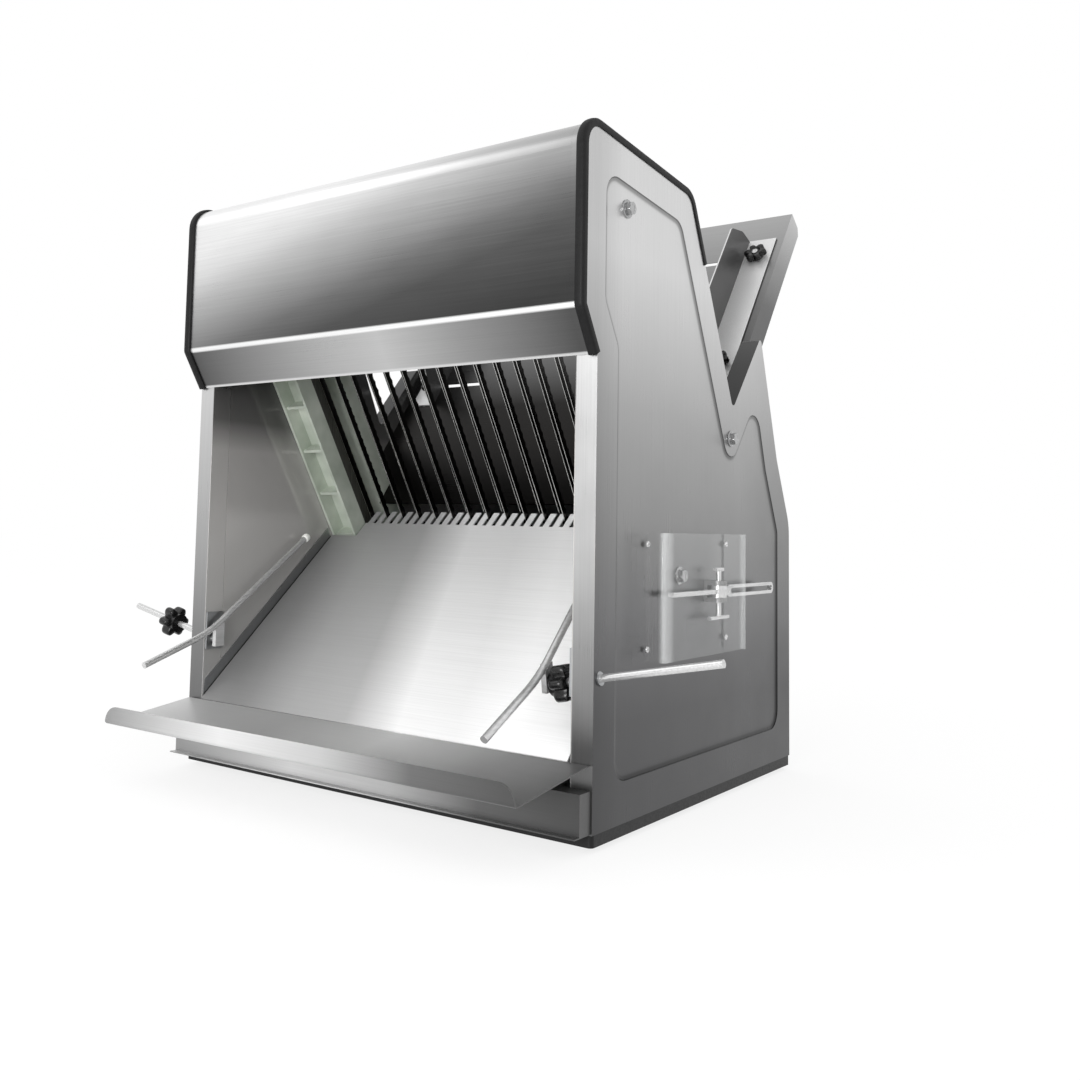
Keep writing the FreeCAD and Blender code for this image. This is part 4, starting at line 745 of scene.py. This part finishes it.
for side, sideName in sides:
    for heightName, height in starKnobs["railUp"].items():
        seat = onInfeed(side * starKnobs["railX"], height, starKnobs["railSeat"])
        shells = starShells(starKnobs["railRadius"], starKnobs["railHeight"], seat, infeedOut)
        shells.append(threadShell(*starKnobs["railStud"], seat, infeedOut, starKnobs["threadPitch"]))
        knob = makePiece("star_knob_infeed_" + heightName + "_" + sideName, shells, [knobBlack, polishedSteel],
                         sideName + "_" + heightName + "_knob")
        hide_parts("infeed_knob_" + heightName + "_" + sideName)

crossStud = {"y": 12.0, "z": 166.0, "slant": 11.5, "leftKnobX": 339.0, "rightKnobX": 246.0}
for side, sideName in sides:
    lean = math.radians(crossStud["slant"])
    outward = Vector((side * math.cos(lean), 0, math.sin(lean)))
    reach = crossStud[sideName + "KnobX"] - machine["halfWidth"]
    seat = spot(side * machine["halfWidth"], crossStud["y"], crossStud["z"]) + outward * (reach / math.cos(lean) / 1000)
    shells = starShells(starKnobs["studRadius"], starKnobs["studHeight"], seat, outward)
    knob = makePiece("star_knob_rod_" + sideName, shells, [knobBlack, polishedSteel],
                     sideName + "_rod_knob")
    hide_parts("guide_knob_" + sideName)
print("slicer: knobs done")


# Moulded caps on the upper ends of the discharge guide rods

rodCaps = {"radius": 5.5, "length": 9.0, "leftRise": 36.0, "rightRise": 45.0}
for side, sideName in sides:
    low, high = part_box("guide_tip_" + sideName)
    middle = (Vector(low) + Vector(high)) / 2
    rise = math.radians(rodCaps[sideName + "Rise"])
    along = Vector((0, math.cos(rise), math.sin(rise)))
    half = rodCaps["length"] / 2
    radius = rodCaps["radius"]
    rows = [(radius * 0.94, -half), (radius, -half * 0.85), (radius * 0.99, half * 0.1),
            (radius * 0.9, half * 0.5), (radius * 0.68, half * 0.8),
            (radius * 0.38, half * 0.94), (radius * 0.1, half * 0.98)]
    cap = makePiece("rod_cap_" + sideName, [spun(rows, 32, middle, along)], [nylonWhite], sideName + "_rod")
    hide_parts("guide_tip_" + sideName)


# Hexagon bolts in the side panels: rolled washer, flange, chamfered head

panelBolts = {
    "flats": 13.0,
    "washerRadius": 10.0,
    "washer": 1.6,
    "head": 6.0,
    "seats": ((61.0, 647.0, 298.0), (323.0, 425.0, 300.0), (188.0, 262.0, 298.0)),
}


def boltShells(start, axis, flats, washerRadius, washer, head, turn=0.0):
    washerRows = [(washerRadius * 0.97, 0.0), (washerRadius, washer * 0.3),
                  (washerRadius, washer * 0.7), (washerRadius * 0.96, washer),
                  (washerRadius * 0.5, washer)]
    full = flats / 2 / math.cos(math.pi / 6)
    top = washer + head
    headRows = [(full * 0.98, washer), (full * 0.98, washer + 0.5),
                (hexEdge(flats, full * 0.93), washer + 0.6), (hexEdge(flats, full), washer + 1.2),
                (hexEdge(flats, full), top - 1.1), (hexEdge(flats, full * 0.93), top - 0.5),
                (hexEdge(flats, full * 0.86), top - 0.1), (full * 0.80, top),
                (full * 0.55, top), (full * 0.5, top - 0.4)]
    return [spun(washerRows, 48, start, axis), spun(headRows, 48, start, axis, turn)]


shells = []
for index, (y, z, x) in enumerate(panelBolts["seats"]):
    for side in (-1, 1):
        shells += boltShells(spot(side * x, y, z), (side, 0, 0), panelBolts["flats"], panelBolts["washerRadius"],
                             panelBolts["washer"], panelBolts["head"], 0.3 + index)
bolts = makePiece("panel_hex_bolts", shells, [boltSteel], "root")
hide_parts("panel_bolts")
print("slicer: bolts done")


# Bread blades: hardened strip 0.8 mm thick with a scalloped cutting edge and riveted end clips

breadBlades = {
    "pitch": 15.0,
    "count": 31,
    "thickness": 0.8,
    "width": 10.0,
    "offset": 2.0,
    "top": -253.0,
    "bottom": 66.0,
    "scallop": 12.0,
    "scallopDepth": 1.6,
    "groundWidth": 2.6,
    "clipLength": 10.0,
    "clipWidth": 4.0,
    "clipCorner": 1.2,
    "edgeHalf": 0.04,
    "rowsPerScallop": 6,
}
bladeLean = math.radians(machine["bladeLean"])
bladeDown = Vector((0, math.cos(bladeLean), -math.sin(bladeLean)))
bladeAhead = Vector((0, -math.sin(bladeLean), -math.cos(bladeLean)))


def bladeTone(tree):
    # painted shade and highlight: the broad faces are painted dark and the ground edges light
    return rampOf(tree, sidewaysSize(tree, "Normal"),
                  ((0.0, "#D2D2D0"), (0.5, "#B0B0AE"), (0.93, "#8E8E8C"), (0.99, "#2E2D2C")))


bladeSteel = brushedSteel("hardened blade strip, blued with ground edges", "z", bladeTone, 0.28)


def scallopedBlade(x, side):
    # the cutting edge is the one towards the loaf, the plain edge is the other
    near = side * breadBlades["offset"]
    far = side * (breadBlades["offset"] + breadBlades["width"])
    cutting, plain = (near, far) if side > 0 else (far, near)
    inward = 1 if plain > cutting else -1
    half, thin = breadBlades["thickness"] / 2, breadBlades["edgeHalf"]
    length = breadBlades["bottom"] - breadBlades["top"]
    perScallop = breadBlades["rowsPerScallop"]
    count = int(length / breadBlades["scallop"]) * perScallop
    points = []
    for row in range(count + 1):
        down = breadBlades["top"] + length * row / count
        wave = abs(math.sin(math.pi * (row / perScallop)))
        edge = cutting + inward * breadBlades["scallopDepth"] * wave
        shoulder = cutting + inward * (breadBlades["groundWidth"] + breadBlades["scallopDepth"] * wave)
        for offset, across in ((edge, -thin), (shoulder, -half), (plain, -half), (plain, half), (shoulder, half),
                               (edge, thin)):
            points.append(knifePoint + Vector(((x + across) / 1000, 0, 0)) + bladeDown * (down / 1000)
                          + bladeAhead * (offset / 1000))
    faces = []
    for row in range(count):
        for index in range(6):
            following = (index + 1) % 6
            faces.append((row * 6 + index, row * 6 + following, (row + 1) * 6 + following, (row + 1) * 6 + index))
    faces += [(5, 4, 3, 2, 1, 0), tuple(count * 6 + index for index in range(6))]
    return points, faces, 0


def bladeClip(x, side, low, high):
    near = side * breadBlades["offset"]
    far = side * (breadBlades["offset"] + breadBlades["width"])
    first, last = min(near, far), max(near, far)
    half = breadBlades["clipWidth"] / 2
    corner = breadBlades["clipCorner"]
    outline = [(first + corner, low), (last - corner, low), (last, low + corner), (last, high - corner),
               (last - corner, high), (first + corner, high), (first, high - corner), (first, low + corner)]
    start = knifePoint + Vector(((x - half) / 1000, 0, 0))
    return pressed(outline, start, bladeAhead, bladeDown, Vector((1, 0, 0)), breadBlades["clipWidth"], 1)


def rivetHead(x, side, down, direction):
    middle = side * (breadBlades["offset"] + breadBlades["width"] / 2)
    face = Vector(((x + direction * breadBlades["clipWidth"] / 2) / 1000, 0, 0))
    start = knifePoint + face + bladeDown * (down / 1000) + bladeAhead * (middle / 1000)
    rows = [(2.2, 0.0), (2.1, 0.35), (1.5, 0.75), (0.5, 0.9)]
    return spun(rows, 12, start, (direction, 0, 0), pick=1)


for side, setName in ((1, "front"), (-1, "rear")):
    shells = []
    for index in range(0 if side > 0 else 1, breadBlades["count"], 2):
        x = breadBlades["pitch"] * (index - (breadBlades["count"] - 1) / 2)
        top, bottom, clip = breadBlades["top"], breadBlades["bottom"], breadBlades["clipLength"]
        shells.append(scallopedBlade(x, side))
        shells += [bladeClip(x, side, top, top + clip), bladeClip(x, side, bottom - clip, bottom)]
        for direction in (-1, 1):
            shells.append(rivetHead(x, side, top + clip / 2, direction))
            shells.append(rivetHead(x, side, bottom - clip / 2, direction))
    bladeSet = makePiece("bread_blades_" + setName, shells, [bladeSteel, machinedSteel], setName + "_frame")
    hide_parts(setName + "_blades")
print("slicer: blades done")


# Side laps of the discharge slope: a grey strip up each liner over a black seal in the gap

slopeLap = {"low": (2.0, 90.3), "high": (224.5, 292.4), "rise": 13.0, "sheet": 0.8, "gap": 1.7, "sealDrop": 1.6,
            "sealTop": 0.5, "foot": 0.6, "tip": 5.0}
run, climb = (slopeLap["high"][axis] - slopeLap["low"][axis] for axis in (0, 1))
lapWay = Vector((0, run, climb)).normalized()
lapUp = Vector((0, -lapWay.z, lapWay.y))
lapLength = math.hypot(run, climb)
for side, sideName in sides:
    start = spot(side * (machine["innerX"] - 0.1), *slopeLap["low"])
    foot, rise, drop, seam = (slopeLap[key] for key in ("foot", "rise", "sealDrop", "sealTop"))
    lap = [(0.0, foot), (lapLength, foot), (lapLength + slopeLap["tip"], rise), (rise, rise)]
    seal = [(0.0, -drop), (lapLength, -drop), (lapLength, seam), (0.0, seam)]
    inward = Vector((-side, 0, 0))
    shells = [pressed(lap, start, lapWay, lapUp, inward, slopeLap["sheet"], 0),
              pressed(seal, start, lapWay, lapUp, inward, slopeLap["gap"], 1)]
    makePiece("slope_side_lap_" + sideName, shells, [plainSteel, rubberBlack], "root")


# Turned rubber feet: tapered, with a grip rib round the edge and a screw recess in the sole

feet = {"radius": 19.0, "height": 15.5, "x": 258.0, "inset": 38.0}
shells = []
for x in (-feet["x"], feet["x"]):
    for y in (feet["inset"], machine["depth"] - feet["inset"]):
        radius, height = feet["radius"], feet["height"]
        rows = [(radius * 0.3, height * 0.25), (radius * 0.36, 0.4), (radius * 0.42, 0.0),
                (radius * 0.80, 0.0), (radius * 0.85, 0.6), (radius * 0.87, height * 0.16),
                (radius * 0.845, height * 0.2), (radius * 0.885, height * 0.26),
                (radius * 0.90, height * 0.38), (radius * 0.875, height * 0.42),
                (radius * 0.915, height * 0.48), (radius * 0.985, height * 0.88),
                (radius, height * 0.95), (radius * 0.97, height)]
        shells.append(spun(rows, 40, spot(x, y, 0.0), (0, 0, 1)))
footSet = makePiece("rubber_feet_turned", shells, [rubberBlack], "root")
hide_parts("rubber_feet")


# Cable gland in the rear cover: locknut inside, hexagon body, ribbed compression nut, open bore

gland = {"x": -205.0, "z": 58.0, "flats": 26.0, "bore": 4.0, "ribs": 18, "ribReach": 0.0112}
full = gland["flats"] / 2 / math.cos(math.pi / 6)
sixSided = lambda share: hexEdge(gland["flats"], full * share)
start = spot(gland["x"], machine["depth"], gland["z"])
bodyRows = [(7.9, -7.4), (7.9, -5.6), (sixSided(0.97), -5.4), (sixSided(1.0), -4.8), (sixSided(1.0), -2.6),
            (sixSided(0.97), -1.9), (7.9, -1.8), (7.9, 0.0), (sixSided(0.94), 0.35), (sixSided(1.0), 1.2),
            (sixSided(1.0), 6.4), (sixSided(0.93), 7.4), (full * 0.80, 7.6)]
capRows = [(11.0, 7.6), (11.4, 8.1), (11.4, 14.0), (10.4, 17.2), (8.4, 19.6), (6.2, 20.9), (4.8, 21.2),
           (gland["bore"], 20.8), (gland["bore"], 9.0)]
shells = [spun(rows, 48, start, (0, 1, 0)) for rows in (bodyRows, capRows)]
for index in range(gland["ribs"]):
    turn = 2 * math.pi * index / gland["ribs"]
    rib = start + Vector((math.cos(turn) * gland["ribReach"], 0, math.sin(turn) * gland["ribReach"]))
    rows = [(0.3, 8.4), (0.75, 8.9), (0.75, 13.2), (0.3, 13.9)]
    shells.append(spun(rows, 8, rib, (0, 1, 0)))
glandPiece = makePiece("cable_gland_ribbed", shells, [absBlack], "root")
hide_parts("cable_gland")


# Start and stop buttons with dished tops, and the bezels and corner screws of their box

switchBox = {"y": 165.0, "z": 352.0, "face": -324.0, "buttonRadius": 12.0, "proud": 5.0, "pitch": 48.0,
             "width": 62.0, "height": 116.0, "screwInset": 9.0, "screwRadius": 3.6, "screwHeight": 2.0}
for sign, body, finish, slotName in ((1, "start", buttonGreen, "green_plastic"),
                                     (-1, "stop", buttonRed, "red_plastic")):
    centre = spot(switchBox["face"], switchBox["y"], switchBox["z"] + sign * switchBox["pitch"] / 2)
    radius, proud = switchBox["buttonRadius"], switchBox["proud"]
    rows = [(radius, -8.6), (radius, proud - 1.4), (radius * 0.96, proud - 0.5),
            (radius * 0.88, proud - 0.1), (radius * 0.8, proud - 0.05),
            (radius * 0.62, proud - 0.55), (radius * 0.3, proud - 0.95)]
    button = makePiece(body + "_push_button", [spun(rows, 48, centre, (-1, 0, 0))], [finish], body)
    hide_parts(body + "_button")


def panShells(start, axis, radius, height):
    # pan-head screw with a cross recess
    rows = [(radius * 0.97, 0.0), (radius, height * 0.25), (radius * 0.95, height * 0.6),
            (radius * 0.78, height * 0.9), (radius * 0.5, height)]
    cross = lambda share: (lambda turn: radius * share * (0.42 + 0.58 * abs(math.cos(2 * turn)) ** 3))
    rows += [(cross(0.46), height), (cross(0.40), height * 0.55), (cross(0.2), height * 0.3)]
    return spun(rows, 40, start, axis, 0.4)


shells = []
for sign in (-1, 1):
    centre = spot(switchBox["face"], switchBox["y"], switchBox["z"] + sign * switchBox["pitch"] / 2)
    inner = switchBox["buttonRadius"] + 0.5
    rows = [(inner, -0.4), (inner, 1.6), (inner + 0.5, 2.1), (inner + 2.6, 1.7),
            (inner + 3.4, 0.9), (inner + 3.6, -0.4)]
    points, faces, pick = spun(rows, 48, centre, (-1, 0, 0), pick=1)
    shells.append((points, [face for face in faces if len(face) == 4], pick))
    for end in (-1, 1):
        place = spot(switchBox["face"], switchBox["y"] + end * (switchBox["width"] / 2 - switchBox["screwInset"]),
                     switchBox["z"] + sign * (switchBox["height"] / 2 - switchBox["screwInset"]))
        shells.append(panShells(place, (-1, 0, 0), switchBox["screwRadius"], switchBox["screwHeight"]))
makePiece("switch_box_trim", shells, [polishedSteel, machinedSteel], "root")


# Pan-head screws that hold the rear cover and the guard's flanges

screws = {"radius": 4.6, "height": 2.4, "coverX": 258.0, "coverRows": (36.0, 130.0, 226.0, 300.0), "footX": 90.0,
          "guardRadius": 3.4, "guardHeight": 1.8, "guardOut": 3.0, "guardY": (107.5, 306.5), "guardZ": (187.0, 297.0)}
shells = []
for x in (-screws["coverX"], screws["coverX"]):
    for z in screws["coverRows"]:
        shells.append(panShells(spot(x, machine["depth"], z), (0, 1, 0), screws["radius"], screws["height"]))
for x in (-screws["footX"], screws["footX"]):
    shells.append(panShells(spot(x, machine["depth"], screws["coverRows"][0]), (0, 1, 0), screws["radius"],
                            screws["height"]))
for y in screws["guardY"]:
    for z in screws["guardZ"]:
        seat = spot(machine["recessX"] + screws["guardOut"], y, z)
        shells.append(panShells(seat, (1, 0, 0), screws["guardRadius"], screws["guardHeight"]))
makePiece("pan_head_screws", shells, [polishedSteel], "root")
print("slicer: fittings done")


# Floor, backdrop and light

studio = {
    "floorSize": 30.0,
    "whiteShare": 0.8,
    "worldStrength": 1.0,
    # name, place, aim, size in metres, watts
    "softboxes": (
        ("key_softbox", (-1.6, -1.8, 2.4), (0, 0, 0.35), (1.6, 1.2), 7.0),
        ("fill_softbox", (2.2, -0.6, 1.6), (0, 0, 0.4), (1.4, 1.4), 4.0),
        ("front_softbox", (0.35, -2.1, 0.42), (-0.05, 0, 0.3), (1.1, 0.6), 24.0),
    ),
}


def seenRays(tree):
    # camera, mirror and see-through rays find plain white paper
    rays = addNode(tree, "ShaderNodeLightPath")
    first = addNode(tree, "ShaderNodeMath", {"operation": "MAXIMUM"},
                    {0: rays.outputs["Is Camera Ray"], 1: rays.outputs["Is Transmission Ray"]})
    return addNode(tree, "ShaderNodeMath", {"operation": "MAXIMUM"},
                   {0: first.outputs[0], 1: rays.outputs["Is Glossy Ray"]}).outputs[0]


def studioFloor():
    mesh = bpy.data.meshes.new("studio_floor")
    half = studio["floorSize"] / 2
    mesh.from_pydata([(-half, -half, 0), (half, -half, 0), (half, half, 0), (-half, half, 0)], [], [(0, 1, 2, 3)])
    floor = bpy.data.objects.new("studio_floor", mesh)
    scene.collection.objects.link(floor)
    material = bpy.data.materials.new("paper floor, matt white")
    material.use_nodes = True
    tree = material.node_tree
    tree.nodes.clear()
    share = addNode(tree, "ShaderNodeMath", {"operation": "MULTIPLY", 1: studio["whiteShare"]}, {0: seenRays(tree)})
    paper = addNode(tree, "ShaderNodeBsdfDiffuse", {"Color": linear("#FFFFFF")})
    white = addNode(tree, "ShaderNodeEmission", {"Color": linear("#FFFFFF"), "Strength": 1.0})
    both = addNode(tree, "ShaderNodeMixShader",
                   links={"Fac": share.outputs[0], 1: paper.outputs[0], 2: white.outputs[0]})
    addNode(tree, "ShaderNodeOutputMaterial", links={"Surface": both.outputs[0]})
    mesh.materials.append(material)


def studioWorld():
    world = bpy.data.worlds.new("studio world")
    scene.world = world
    world.use_nodes = True
    tree = world.node_tree
    tree.nodes.clear()
    room = addNode(tree, "ShaderNodeBackground", {"Color": linear("#FFFFFF"), "Strength": studio["worldStrength"]})
    white = addNode(tree, "ShaderNodeBackground", {"Color": linear("#FFFFFF"), "Strength": 1.0})
    both = addNode(tree, "ShaderNodeMixShader",
                   links={"Fac": seenRays(tree), 1: room.outputs[0], 2: white.outputs[0]})
    addNode(tree, "ShaderNodeOutputWorld", links={"Surface": both.outputs[0]})


def softbox(name, place, aim, size, watts):
    lamp = bpy.data.lights.new(name, "AREA")
    lamp.shape = "RECTANGLE"
    lamp.size, lamp.size_y = size
    lamp.energy = watts
    thing = bpy.data.objects.new(name, lamp)
    thing.location = place
    thing.rotation_euler = (Vector(aim) - Vector(place)).to_track_quat("-Z", "Y").to_euler()
    scene.collection.objects.link(thing)


scene.view_settings.view_transform = "Standard"
studioFloor()
studioWorld()
for lamp in studio["softboxes"]:
    softbox(*lamp)


# Camera at the photograph's angle, worked out from the machine's own corners

view = {
    "place": (0.8488, -1.18732, 0.3117),
    "yaw": 37.27,
    "pitch": 4.64,
    "roll": 1.27,
    "lens": 36.66,
    "shiftX": 0.0725,
    "shiftY": -0.0956,
}


def photoCamera():
    yaw, pitch, roll = (math.radians(view[key]) for key in ("yaw", "pitch", "roll"))
    ahead = Vector((-math.sin(yaw) * math.cos(pitch), math.cos(yaw) * math.cos(pitch), math.sin(pitch)))
    right = Vector((math.cos(yaw), math.sin(yaw), 0))
    up = right.cross(ahead)
    tiltedRight = right * math.cos(roll) + up * math.sin(roll)
    tiltedUp = up * math.cos(roll) - right * math.sin(roll)
    turn = Matrix((tiltedRight, tiltedUp, -ahead)).transposed().to_4x4()
    lens = bpy.data.cameras.new("photo_camera")
    lens.sensor_width = 36.0
    lens.lens = view["lens"]
    lens.shift_x = view["shiftX"]
    lens.shift_y = view["shiftY"]
    lens.clip_start = 0.02
    camera = bpy.data.objects.new("photo_camera", lens)
    camera.matrix_world = Matrix.Translation(view["place"]) @ turn
    scene.collection.objects.link(camera)
    scene.camera = camera


photoCamera()
print("slicer: stage, light and camera done")
